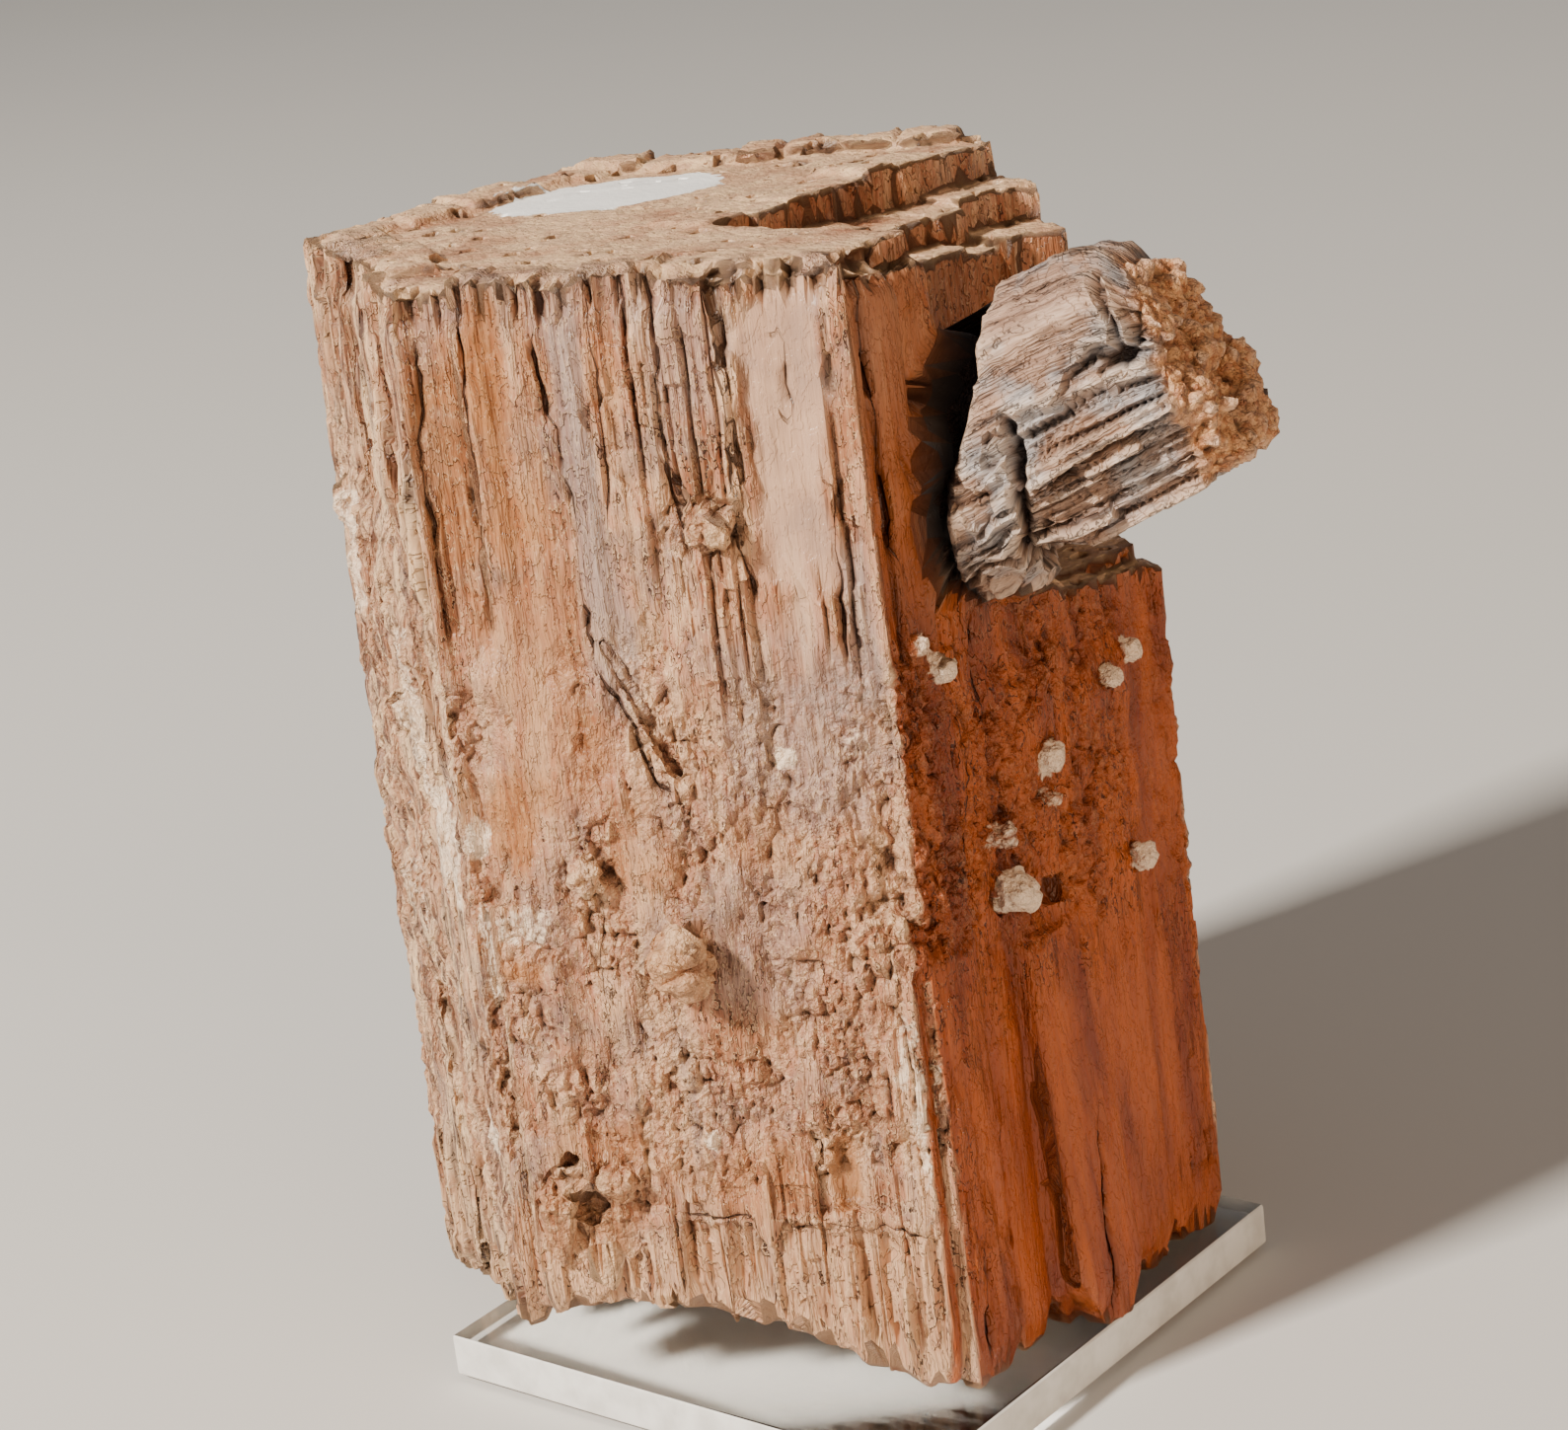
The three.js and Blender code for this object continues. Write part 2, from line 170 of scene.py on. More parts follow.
def cells(points: np.ndarray, seed: int) -> tuple[np.ndarray, np.ndarray, np.ndarray]:
    """Grains packed side by side, about one unit across.

    Args:
        points: One row of coordinates for each place.
        seed: Picks the pattern.

    Returns:
        Distance to the nearest grain's centre, to the next one's, and the grain's own number.
    """
    base = np.floor(points)
    width = points.shape[1]
    near = np.full(len(points), np.inf)
    second = np.full(len(points), np.inf)
    own = np.zeros(len(points))
    for step in itertools.product((-1, 0, 1), repeat=width):
        home = base + step
        middle = home + np.stack([lattice(home, seed + axis) for axis in range(width)], axis=1)
        gap = np.linalg.norm(middle - points, axis=1)
        closer = gap < near
        second = np.where(closer, near, np.minimum(second, gap))
        own = np.where(closer, lattice(home, seed + 11), own)
        near = np.where(closer, gap, near)
    return near, second, own


def ease(low: float, high: float, values: np.ndarray) -> np.ndarray:
    """Soft step from 0 at low to 1 at high, or down where high is the smaller."""
    share = np.clip((values - low) / (high - low), 0, 1)
    return share * share * (3 - 2 * share)


def laths(across: np.ndarray, up: np.ndarray, width: float, length: float, seed: int) -> tuple:
    """Splintered laths that lie side by side and end at different heights.

    Args:
        across: Place across the laths, in mm.
        up: Place along the laths, in mm.
        width: Usual width of a lath.
        length: Usual length of a lath.
        seed: Picks the pattern.

    Returns:
        Each point's level on its lath from -0.5 to 0.5, and the distance to the lath's edge in mm.
    """
    drift = noise(np.stack([across * 0.23, up * 0.018], axis=1), seed + 3)
    column = across / width + 0.55 * drift + 0.1 * noise(np.stack([across, up * 0.3], axis=1), seed + 5)
    index = np.floor(column)
    edge = np.minimum(column - index, 1 - (column - index)) * width
    shift = lattice(index[:, None], seed)
    piece = np.floor(up / (length * (0.6 + 0.8 * shift)) + shift * 7)
    level = lattice(np.stack([index, piece], axis=1), seed + 1) - 0.5
    return level, edge


def gap_to_path(spots: np.ndarray, path: tuple) -> np.ndarray:
    """Distance of places on a map to a line.

    Args:
        spots: One row for each place.
        path: The line's corners.

    Returns:
        A distance for each row.
    """
    nearest = np.full(len(spots), np.inf)
    for start, end in itertools.pairwise(path):
        run = np.subtract(end, start)
        share = np.clip((spots - start) @ run / (run @ run), 0, 1)
        nearest = np.minimum(nearest, np.linalg.norm(spots - start - np.outer(share, run), axis=1))
    return nearest


# The crystal's shape


@dataclass(frozen=True)
class PrismFrame:
    """Where the prism stands on the plate, how it is turned and how far it leans back."""

    stand: tuple[float, float, float] = (-6.7, 5.0, 3.0)
    turn_deg: float = 26.4
    lean_deg: float = 2.75
    lean_axis: float = 0.704
    corner_radius: float = 27.9

    @property
    def face(self) -> float:
        """Distance from the axis to a side."""
        return self.corner_radius * math.cos(math.pi / 6)

    def matrix(self) -> Matrix:
        """Prism frame to part frame, in mm."""
        axis = Vector((math.cos(self.lean_axis), math.sin(self.lean_axis), 0))
        lean = Matrix.Rotation(-math.radians(self.lean_deg), 4, axis)
        turn = Matrix.Rotation(math.radians(self.turn_deg), 4, "Z")
        return Matrix.Translation(self.stand) @ lean @ turn

    def own(self, points: np.ndarray) -> np.ndarray:
        """Points of the part, in metres, in the prism's frame, in mm."""
        back = np.array(self.matrix().inverted())
        return points / MM @ back[:3, :3].T + back[:3, 3]

    def own_direction(self, directions: np.ndarray) -> np.ndarray:
        """Directions of the part in the prism's frame."""
        back = np.array(self.matrix().inverted())
        return directions @ back[:3, :3].T

    def outward(self) -> np.ndarray:
        """One row for each side: the direction away from the axis."""
        angles = np.arange(len(Side)) * math.pi / 3
        return np.stack([np.sin(angles), -np.cos(angles)], axis=1)

    def along(self) -> np.ndarray:
        """One row for each side: the direction to the right along it."""
        angles = np.arange(len(Side)) * math.pi / 3
        return np.stack([np.cos(angles), np.sin(angles)], axis=1)


@dataclass(frozen=True)
class SideCrystalFrame:
    """Axis of the smaller crystal, from its root inside the prism to its free end."""

    root: tuple[float, float, float] = (10.8, -11.9, 51.6)
    end: tuple[float, float, float] = (34.4, -15.0, 63.0)
    front: tuple[float, float, float] = (0.24, -0.97, 0.0)
    half_front: float = 7.0
    half_up: float = 7.9

    @property
    def length(self) -> float:
        """Length of the axis."""
        return (Vector(self.end) - Vector(self.root)).length

    def axes(self) -> np.ndarray:
        """Directions to the front, up and along the axis, one row for each, in the prism's frame."""
        along = (Vector(self.end) - Vector(self.root)).normalized()
        front = Vector(self.front)
        front = (front - along * front.dot(along)).normalized()
        return np.array([front, front.cross(along), along])

    def own(self, points: np.ndarray) -> np.ndarray:
        """Points of the prism's frame as distances to the front, up and along the axis."""
        return (points - np.array(self.root)) @ self.axes().T

    def notch(self, small: np.ndarray) -> np.ndarray:
        """1 left of the crystal's broken left end, where it is set back from the prism."""
        _, lift, run = small.T
        left_end = np.interp(lift, (-4.0, -0.7, 2.0, 4.0, 7.5), (6.2, 7.4, 9.8, 12.0, 15.6))
        return ease(0.4, -0.9, run - left_end)

    def reshape(self, small: np.ndarray) -> np.ndarray:
        """Moves that raise the top towards the root, lower it at the end and set back the left end.

        Args:
            small: Distances to the front, up and along the axis, one row for each point.

        Returns:
            One move for each point, in mm of the prism's frame.
        """
        front, lift, run = small.T
        rise = np.interp(run, (4.0, 17.0, 22.0, 25.0, 27.5), (2.5, 2.5, 1.9, 0.2, -1.3))
        under = 1.5 * ease(-2.0, -6.0, lift) * ease(15.0, 11.0, run)
        upward = np.outer(rise * ease(-1.0, 6.0, lift) + under, (0.0, 0.0, 1.0))
        back = self.notch(small) * ease(-5.0, -1.0, front)
        to_front, to_top, _ = self.axes()
        inward = np.outer(back * -4.5, to_front)
        downward = np.outer(back * -3.5 * ease(1.0, 5.0, lift), to_top)
        return upward + inward + downward


@dataclass(frozen=True)
class Crack:
    """A crack on a side, between two places given as across and up, painted dark with shade."""

    start: tuple[float, float]
    end: tuple[float, float]
    width: float = 0.09
    depth: float = 0.4


@dataclass(frozen=True)
class Spot:
    """A round-cornered area of a side: its middle and half size, and how strong it is."""

    across: float
    up: float
    half_across: float
    half_up: float
    amount: float = 1.0


# Knobs and hollows of the sides, with how far each stands out as its amount
LUMPS = {
    Side.FRONT: (
        Spot(-1.1, 29.3, 1.6, 2.0, 2.1), Spot(-6.3, 34.9, 1.3, 1.5, 0.8),
        Spot(-6.8, 14.0, 1.5, 1.2, 0.8), Spot(-11.2, 13.2, 1.4, 1.8, 0.6),
        Spot(-9.2, 20.6, 2.2, 1.1, 0.5), Spot(4.0, 56.2, 1.5, 1.3, 0.6),
        Spot(12.2, 29.8, 1.8, 2.2, 0.4), Spot(6.6, 15.4, 0.8, 1.4, 0.5),
        Spot(-9.4, 10.6, 1.7, 1.1, -0.5), Spot(7.6, 13.2, 0.8, 1.9, -0.4),
        Spot(-6.0, 12.0, 0.8, 1.0, -0.5),
    ),
    Side.RIGHT: (
        Spot(-9.6, 45.8, 0.9, 1.0, 0.5), Spot(-11.2, 47.7, 1.0, 0.7, 0.4),
        Spot(6.6, 40.6, 1.0, 0.7, 0.5), Spot(8.8, 41.6, 0.7, 0.8, 0.5),
        Spot(-0.3, 37.2, 0.9, 1.2, 0.7), Spot(-0.5, 34.5, 0.8, 0.8, 0.5),
        Spot(-5.7, 33.7, 1.2, 1.0, 0.6), Spot(-5.1, 29.7, 1.4, 1.3, 0.9),
        Spot(7.8, 27.9, 0.8, 0.9, 0.6), Spot(-0.6, 28.3, 1.1, 0.9, -0.8),
    ),
}

# Cracks of the sides
CRACKS = {
    Side.FRONT: (
        Crack((6.0, 72.0), (6.6, 56.5)), Crack((5.9, 68.0), (5.7, 57.0), 0.07, 0.4),
        Crack((5.7, 57.0), (6.3, 50.5), 0.07, 0.4), Crack((-5.6, 72.0), (-4.5, 60.0), 0.14, 0.6),
        Crack((-4.5, 60.0), (-4.2, 48.0), 0.12, 0.6), Crack((-4.2, 48.0), (-0.1, 39.0), 0.12, 0.5),
        Crack((10.0, 67.2), (10.2, 62.8), 0.06, 0.3), Crack((11.9, 58.5), (11.5, 46.5), 0.08, 0.5),
        Crack((-10.0, 72.0), (-10.5, 54.0), 0.09, 0.5), Crack((-13.0, 69.0), (-13.2, 55.0), 0.09, 0.4),
        Crack((-1.7, 72.0), (-2.2, 55.5), 0.09, 0.4), Crack((2.1, 71.5), (1.9, 63.0), 0.08, 0.4),
        Crack((0.4, 71.5), (0.2, 62.0), 0.08, 0.4), Crack((1.7, 64.0), (2.7, 57.0), 0.08, 0.4),
        Crack((1.8, 61.0), (2.8, 51.0), 0.08, 0.4), Crack((-5.6, 33.0), (-6.6, 24.0), 0.12, 0.5),
        Crack((-6.6, 24.0), (-7.4, 18.5), 0.1, 0.4), Crack((-3.0, 11.6), (6.0, 10.6), 0.14, 0.4),
        Crack((6.0, 10.6), (13.0, 9.8), 0.12, 0.4),
    ),
    Side.RIGHT: (
        Crack((-12.6, 72.0), (-12.2, 52.0), 0.12, 0.6), Crack((-9.0, 71.0), (-7.6, 50.0), 0.1, 0.5),
        Crack((-7.7, 43.5), (-8.6, 31.0), 0.1, 0.4), Crack((-5.2, 48.0), (-5.4, 38.0), 0.1, 0.4),
        Crack((-8.4, 15.0), (-8.6, 0.0), 0.12, 0.5), Crack((-12.0, 9.0), (-12.8, 0.0), 0.1, 0.5),
        Crack((-1.0, 13.0), (-2.4, -1.0), 0.12, 0.5), Crack((2.0, 20.0), (1.4, 2.0), 0.1, 0.4),
    ),
}

# Areas of one kind on the sides, with the share of that kind as their amount
PATCHES = {
    (Side.FRONT, Kind.POLISHED): (
        Spot(9.6, 61.5, 2.7, 11.0), Spot(8.8, 47.0, 2.2, 5.0, 0.5), Spot(-8.4, 49.5, 3.2, 4.2, 0.5),
        Spot(-7.2, 42.0, 4.4, 3.4, 0.4),
    ),
    (Side.FRONT, Kind.MAUVE): (
        Spot(-3.5, 60.0, 0.95, 12.5), Spot(-3.0, 49.0, 1.6, 4.5, 0.9), Spot(3.6, 67.0, 2.2, 4.5, 0.7),
        Spot(12.7, 49.0, 0.9, 6.0), Spot(-4.5, 70.8, 9.5, 1.7, 0.6), Spot(7.6, 42.0, 5.0, 6.0, 0.8),
        Spot(4.0, 30.0, 3.0, 5.0, 0.6),
    ),
    (Side.FRONT, Kind.AMBER): (
        Spot(-8.5, 66.0, 1.5, 5.8), Spot(-8.2, 57.0, 1.9, 2.4, 0.9), Spot(-11.0, 38.2, 1.7, 3.2, 0.9),
        Spot(-8.9, 40.2, 1.6, 1.2, 0.8), Spot(-11.4, 28.6, 1.4, 0.7), Spot(5.1, 36.8, 1.8, 2.4, 0.6),
        Spot(-2.3, 36.6, 2.1, 3.0, 0.5), Spot(0.6, 14.0, 4.2, 2.4, 0.5),
        Spot(-0.6, 29.0, 1.5, 2.2, 0.5), Spot(-8.2, 50.0, 3.4, 4.6, 0.55),
        Spot(-6.8, 43.5, 3.4, 3.2, 0.5), Spot(-8.6, 12.6, 3.2, 2.6, 0.4),
        Spot(-13.2, 62.0, 0.9, 6.0, 0.6), Spot(-11.4, 60.0, 1.0, 9.0, 0.6),
        Spot(-6.2, 62.0, 0.6, 8.0, 0.7), Spot(-1.4, 66.0, 0.8, 5.0, 0.6), Spot(7.6, 14.0, 0.9, 2.4),
        Spot(-8.6, 16.6, 3.0, 1.6, 0.6),
    ),
    (Side.FRONT, Kind.CHALK): (
        Spot(-10.8, 31.5, 2.3, 1.3, 0.75), Spot(-13.6, 30.0, 0.6, 4.0, 0.9),
        Spot(-13.5, 37.5, 0.8, 1.7), Spot(13.1, 20.4, 1.4, 0.8), Spot(12.8, 23.2, 0.8, 1.9, 0.7),
        Spot(13.3, 15.5, 0.9, 3.6, 0.8), Spot(-0.5, 16.7, 0.7, 0.9), Spot(7.0, 41.4, 0.7, 0.7),
        Spot(11.3, 42.1, 1.1, 0.8, 0.6),
    ),
    (Side.FRONT, Kind.CRUST): (
        Spot(11.8, 29.8, 2.2, 2.8), Spot(3.6, 56.4, 2.4, 1.6), Spot(-1.4, 43.5, 2.4, 5.4, 0.95),
        Spot(-8.6, 11.6, 3.4, 3.4, 0.9),
    ),
    (Side.RIGHT, Kind.POLISHED): (
        Spot(-10.4, 60.5, 4.0, 12.0, 0.6), Spot(0.0, 10.5, 14.0, 13.5, 0.9),
        Spot(11.0, 34.0, 3.0, 12.0, 0.7),
    ),
    (Side.RIGHT, Kind.CHALK): (
        Spot(-9.6, 45.8, 0.95, 1.1), Spot(-11.2, 47.6, 1.0, 0.7, 0.8), Spot(6.6, 40.6, 1.1, 0.8),
        Spot(8.8, 41.6, 0.7, 0.9), Spot(-0.3, 37.2, 0.9, 1.3), Spot(-0.5, 34.5, 0.8, 0.8, 0.7),
        Spot(-5.7, 33.7, 1.2, 1.0, 0.7), Spot(-5.1, 29.7, 1.5, 1.4), Spot(7.8, 27.9, 0.8, 1.0),
        Spot(-5.6, 21.8, 2.2, 0.8, 0.45), Spot(4.4, 47.0, 2.2, 0.6, 0.6),
    ),
    (Side.LEFT, Kind.CHALK): (
        Spot(-9.0, 52.0, 3.6, 5.0, 0.8), Spot(4.0, 45.0, 4.0, 5.0, 0.7),
        Spot(9.0, 36.0, 3.2, 5.0, 0.8), Spot(-2.0, 30.0, 4.6, 3.0, 0.6),
        Spot(10.5, 17.0, 1.6, 2.0, 0.8),
    ),
    (Side.BACK, Kind.AMBER): (
        Spot(-3.0, 44.0, 3.6, 6.0, 0.8),
    ),
    (Side.BACK, Kind.CHALK): (
        Spot(6.0, 24.0, 3.0, 5.0, 0.7),
    ),
    (Side.BACK_LEFT, Kind.POLISHED): (
        Spot(3.0, 56.0, 4.0, 8.0),
    ),
    (Side.BACK_LEFT, Kind.MAUVE): (
        Spot(-6.0, 24.0, 3.0, 6.0, 0.8),
    ),
    (Side.BACK_RIGHT, Kind.AMBER): (
        Spot(2.0, 30.0, 4.0, 6.0, 0.7),
    ),
}

# Slanting crevice of the front side: places across it and up it
CREVICE = ((-4.6, 48.6), (0.3, 38.2))

# Lower line of the front side: places across it and up it
FOOT_ACROSS = (-14.2, -10.9, -7.9, -4.9, -2.3, 0.2, 2.5, 5.2, 7.9, 10.4, 13.1)
FOOT_UP = (4.8, 5.5, 5.6, 5.4, 4.9, 4.1, 3.1, 2.1, 1.0, -0.1, -1.1)

# How strongly the growth stands out on some sides
LIVELINESS = {Side.RIGHT: 0.8, Side.LEFT: 1.7}

# Grooves of the smaller crystal's front: places along and up it, width and depth
SMALL_GROOVES = (
    (((27.4, 9.5), (26.6, 6.7), (25.0, 4.1), (22.7, 2.8)), 0.34, 1.3),
    (((23.3, 6.4), (23.2, 4.4), (22.6, 2.8), (21.0, 2.6)), 0.26, 0.9),
    (((14.2, 2.4), (13.7, 0.5), (12.6, -1.6), (10.7, -4.6), (10.0, -7.0)), 0.3, 1.3),
    (((15.0, -1.2), (20.0, -0.6), (24.5, -1.8)), 0.2, 0.7),
    (((13.0, -3.2), (18.0, -3.6), (23.5, -4.2)), 0.2, 0.7),
)

# Height range of the crust on each side, and how thickly it grows there
CRUST_BANDS = {
    Side.FRONT: (13.0, 50.0, 0.62),
    Side.RIGHT: (26.0, 48.0, 0.62),
    Side.BACK_RIGHT: (9.0, 46.0, 0.55),
    Side.BACK: (18.0, 60.0, 0.62),
    Side.BACK_LEFT: (8.0, 42.0, 0.55),
    Side.LEFT: (10.0, 60.0, 0.55),
}


class Net:
    """Which points of a mesh are joined by an edge, for averaging over neighbours."""

    def __init__(self, mesh: bpy.types.Mesh) -> None:
        """Reads the edges of a mesh."""
        ends = np.empty(len(mesh.edges) * 2, np.int32)
        mesh.edges.foreach_get("vertices", ends)
        self.first, self.second = ends.reshape(-1, 2).T
        self.count = len(mesh.vertices)
        self.degree = np.maximum(np.bincount(ends, minlength=self.count), 1)

    def average(self, values: np.ndarray) -> np.ndarray:
        """Mean of each point's neighbours, one column at a time."""
        columns = []
        for column in values.T:
            gathered = np.bincount(self.first, column[self.second], self.count)
            gathered += np.bincount(self.second, column[self.first], self.count)
            columns.append(gathered / self.degree)
        return np.stack(columns, axis=1)

    def relax(self, values: np.ndarray, rounds: int) -> np.ndarray:
        """Values after several rounds of averaging with the neighbours."""
        for _ in range(rounds):
            values = 0.5 * values + 0.5 * self.average(values)
        return values


class Reading:
    """Where each point of the crystal's surface lies, on the prism and on the smaller crystal."""

    def __init__(self, points: np.ndarray, normals: np.ndarray, broad: np.ndarray) -> None:
        """Reads points and normals of the part, in metres.

        Args:
            points: One row for each point.
            normals: One row for each point.
            broad: Normals averaged over more neighbours, which tell the sides apart.
        """
        prism = PrismFrame()
        small = SideCrystalFrame()
        self.own = prism.own(points)
        self.normal = prism.own_direction(normals)
        self.up = self.own[:, 2]
        flat = self.own[:, :2]
        reach = flat @ prism.outward().T
        facing = prism.own_direction(broad)[:, :2] @ prism.outward().T
        self.side = np.argmax((reach - prism.face) * 0.35 + facing * 4, axis=1)
        rows = np.arange(len(points))
        self.across = (flat @ prism.along().T)[rows, self.side]
        self.depth = prism.face - reach[rows, self.side]
        place = (self.side + len(Side) // 2) % len(Side)
        self.girth = place * prism.corner_radius + self.across
        self.small = small.own(self.own)
        front, lift, run = self.small.T
        ring = np.hypot(front / small.half_front, lift / small.half_up)
        reach_right = reach[:, Side.RIGHT.value]
        lump = np.linalg.norm((self.own - (19.2, -15.0, 51.4)) / (4.4, 4.0, 5.2), axis=1)
        trunk = ease(1.3, 1.16, ring) * ease(14.6, 15.4, reach_right) * ease(2.0, 4.0, run)
        trunk *= ease(48.9, 49.7, self.up)
        lump = ease(1.1, 0.98, lump) * ease(23.8, 24.5, reach_right) * ease(47.9, 48.5, self.up)
        self.small_share = np.maximum(trunk, lump)
        sideways = np.abs(flat @ prism.along()[Side.RIGHT.value])
        self.right_zone = ease(prism.face - 4.5, prism.face - 3.5, reach_right) * (sideways < 13.3)
        self.run = run
        self.around = np.arctan2(lift, front) * 6.6
        steep = self.normal[:, 2]
        main = 1 - self.small_share
        self.top = ease(0.45, 0.75, steep) * ease(44, 47, self.up) * main
        self.foot = ease(-0.45, -0.75, steep) * ease(16, 12, self.up) * main
        self.wall = np.clip(main - self.top - self.foot, 0, 1)

    def pick(self, chosen: np.ndarray) -> "Reading":
        """The reading of only some of the points."""
        part = object.__new__(Reading)
        for name, values in vars(self).items():
            setattr(part, name, values[chosen])
        return part

    def on(self, side: Side) -> np.ndarray:
        """1 on one side of the prism and 0 elsewhere."""
        return (self.side == side.value) * self.wall

    def sheet(self, across: float, up: float) -> np.ndarray:
        """Places round the prism and up it, in units of so many mm."""
        return np.stack([self.girth / across, self.up / up], axis=1)

    def grown(self) -> np.ndarray:
        """Place round each crystal, depth and place along it, in mm, for its grain."""
        prism = np.stack([self.girth, self.depth, self.up], axis=1)
        cap = np.stack([self.own[:, 0], self.own[:, 1], self.up], axis=1)
        level = np.maximum(self.top, self.foot)[:, None] > 0.5
        small = np.stack([self.around + 300, np.hypot(*self.small[:, :2].T), self.run], axis=1)
        return np.where(self.small_share[:, None] > 0.5, small, np.where(level, cap, prism))


class Relief:
    """Heights of the surface's own forms over the solid's plain faces, and where each kind lies."""

    def __init__(self, reading: Reading) -> None:
        """Works out every kind's share and then the heights, in mm."""
        self.reading = reading
        self.share = {kind: self.patches(kind) for kind in Kind}
        self.crust = np.maximum(self.crust_share(), self.share[Kind.CRUST])
        calm = np.maximum(self.share[Kind.POLISHED], self.share[Kind.AMBER] * 0.45)
        self.calm = np.maximum(calm, self.share[Kind.MAUVE] * 0.25)
        self.crust *= 1 - 0.85 * self.calm
        self.bulge, knobs = self.lumps()
        self.crust = np.maximum(self.crust, knobs)
        self.paint = self.paint_field()
        self.end = self.small_end(reading)
        edge = ease(69.0, 70.8, reading.up) * ease(2.2, 0.7, reading.depth)
        self.rim = edge * (1 - reading.small_share)
        self.cut, self.crack, self.crack_near = self.cracks()
        self.height = self.heights()

    def patches(self, kind: Kind) -> np.ndarray:
        """Share of one kind of patch at each point."""
        place = self.reading
        ragged = 0.45 * layered(place.sheet(1.7, 2.6), 40)
        total = np.zeros(len(place.up))
        for side in Side:
            for spot in PATCHES.get((side, kind), ()):
                sideways = np.abs(place.across - spot.across) / spot.half_across
                upward = np.abs(place.up - spot.up) / spot.half_up
                away = (sideways**3 + upward**3) ** (1 / 3) + ragged
                total = np.maximum(total, ease(1.25, 0.75, away) * place.on(side) * spot.amount)
        return total

    def crust_share(self) -> np.ndarray:
        """How far the druse covers each point of the sides."""
        place = self.reading
        wander = layered(place.sheet(6.0, 9.0), 50)
        total = np.zeros(len(place.up))
        for side, (low, high, amount) in CRUST_BANDS.items():
            up = place.up + wander * 6
            band = ease(low - 3, low + 3, up) * ease(high + 4, high - 4, up)
            total += place.on(side) * band * amount
        patchy = total * (1 + 1.1 * layered(place.sheet(3.0, 5.0), 53))
        return ease(0.25, 0.75, patchy)

    def paint_field(self) -> np.ndarray:
        """1 in the middle of the bare paint patch on top, 0 at its rim, less outside."""
        place = self.reading
        off = place.own[:, :2] - (-8.7, 9.4)
        long = off @ np.array([0.861, 0.508]) / 8.2
        short = off @ np.array([-0.508, 0.861]) / 6.4
        return (1 - np.hypot(long, short)) * (place.top > 0.3) - (place.top <= 0.3)

    def fibres(self, place: Reading) -> np.ndarray:
        """Splintered, striated growth along the prism, with slightly tilted facets."""
        wide, wide_edge = laths(place.girth, place.up, 1.9, 19.0, 60)
        slim, slim_edge = laths(place.girth, place.up, 0.8, 7.0, 70)
        strength = ease(-0.2, 0.5, noise(place.sheet(4.0, 11.0), 74))
        strength = np.maximum(strength, ease(12.0, 8.0, place.up))
        height = wide * (0.16 + 0.4 * strength) + slim * (0.08 + 0.34 * strength)
        height -= (0.08 + 0.28 * strength) * np.exp(-((wide_edge / 0.15) ** 2))
        height -= 0.22 * strength * np.exp(-((slim_edge / 0.12) ** 2))
        block, _, tilt = cells(place.sheet(3.2, 4.6), 78)
        height += (tilt - 0.5) * 0.3 + 0.1 * ease(0.5, 0.1, block)
        return height + 0.15 * noise(place.sheet(3.3, 50.0), 77)

    def druse(self, place: Reading) -> np.ndarray:
        """Lumpy crust of small grains, stretched a little along the prism, with pits."""
        spot = place.own * (1.0, 1.0, 0.66)
        near, second, own = cells(spot / 1.35, 80)
        fine, fine_second, fine_own = cells(spot / 0.72, 90)
        grown = ease(0.3, 0.7, own)
        height = (0.5 - near) * (0.1 + 0.75 * grown) - 0.2 * ease(0.14, 0.02, second - near) * grown
        height += (0.4 - fine) * (0.1 + 0.45 * fine_own)
        height -= 0.16 * ease(0.12, 0.02, fine_second - fine)
        pit, _, pit_own = cells(spot / 2.1, 100)
        height -= 0.5 * ease(0.4, 0.1, pit) * (pit_own < 0.26)
        return height + 0.3 * layered(spot / 3.4, 110)

    def cap(self, place: Reading) -> np.ndarray:
        """Granular top with small pits."""
        near, _, own = cells(place.own[:, :2] / 0.8, 120)
        height = (0.45 - near) * (0.05 + 0.16 * own) + 0.2 * layered(place.own[:, :2] / 3.6, 140)
        return height - 0.5 * self.pits(place)

    def pit_shade(self, place: Reading) -> np.ndarray:
        """Share of the painted shade in the top's pits, which reaches a little past their edge."""
        return self.pits(place, 0.12)

    def pits(self, place: Reading, wider: float = 0.0) -> np.ndarray:
        """Share of small pits in the top, more of them towards its edge.

        Args:
            place: The points.
            wider: How much further than the pits themselves the share reaches.

        Returns:
            A number from 0 to 1 for each point.
        """
        away, _, own = cells(place.own[:, :2] / 1.5, 130)
        ragged = 0.22 * noise(place.own[:, :2] / 0.45, 132)
        rim = ease(12, 22, np.hypot(*place.own[:, :2].T))
        away = (away + ragged) / (0.5 + 2.4 * own)
        return ease(0.46, 0.3, away - wider) * (own < 0.14 + 0.1 * rim)

    def rim_columns(self) -> np.ndarray:
        """How the ends of the columns stand apart along the top's edge."""
        place = self.reading
        wide, wide_edge = laths(place.girth, place.up * 0, 1.7, 9.0, 260)
        slim, slim_edge = laths(place.girth, place.up * 0, 0.7, 9.0, 264)
        height = 0.8 * (wide - 0.2) - 0.6 * np.exp(-((wide_edge / 0.2) ** 2))
        height += 0.4 * slim - 0.3 * np.exp(-((slim_edge / 0.14) ** 2))
        return self.rim * height

    def aged_rim(self) -> np.ndarray:
        """Share of greyer stone on top along its front and left edge."""
        place = self.reading
        patchy = ease(-0.35, 0.25, layered(place.own[:, :2] / 2.4, 270))
        near = (place.side == Side.FRONT.value) | (place.side == Side.LEFT.value)
        return place.top * near * ease(5.0, 0.8, place.depth) * patchy

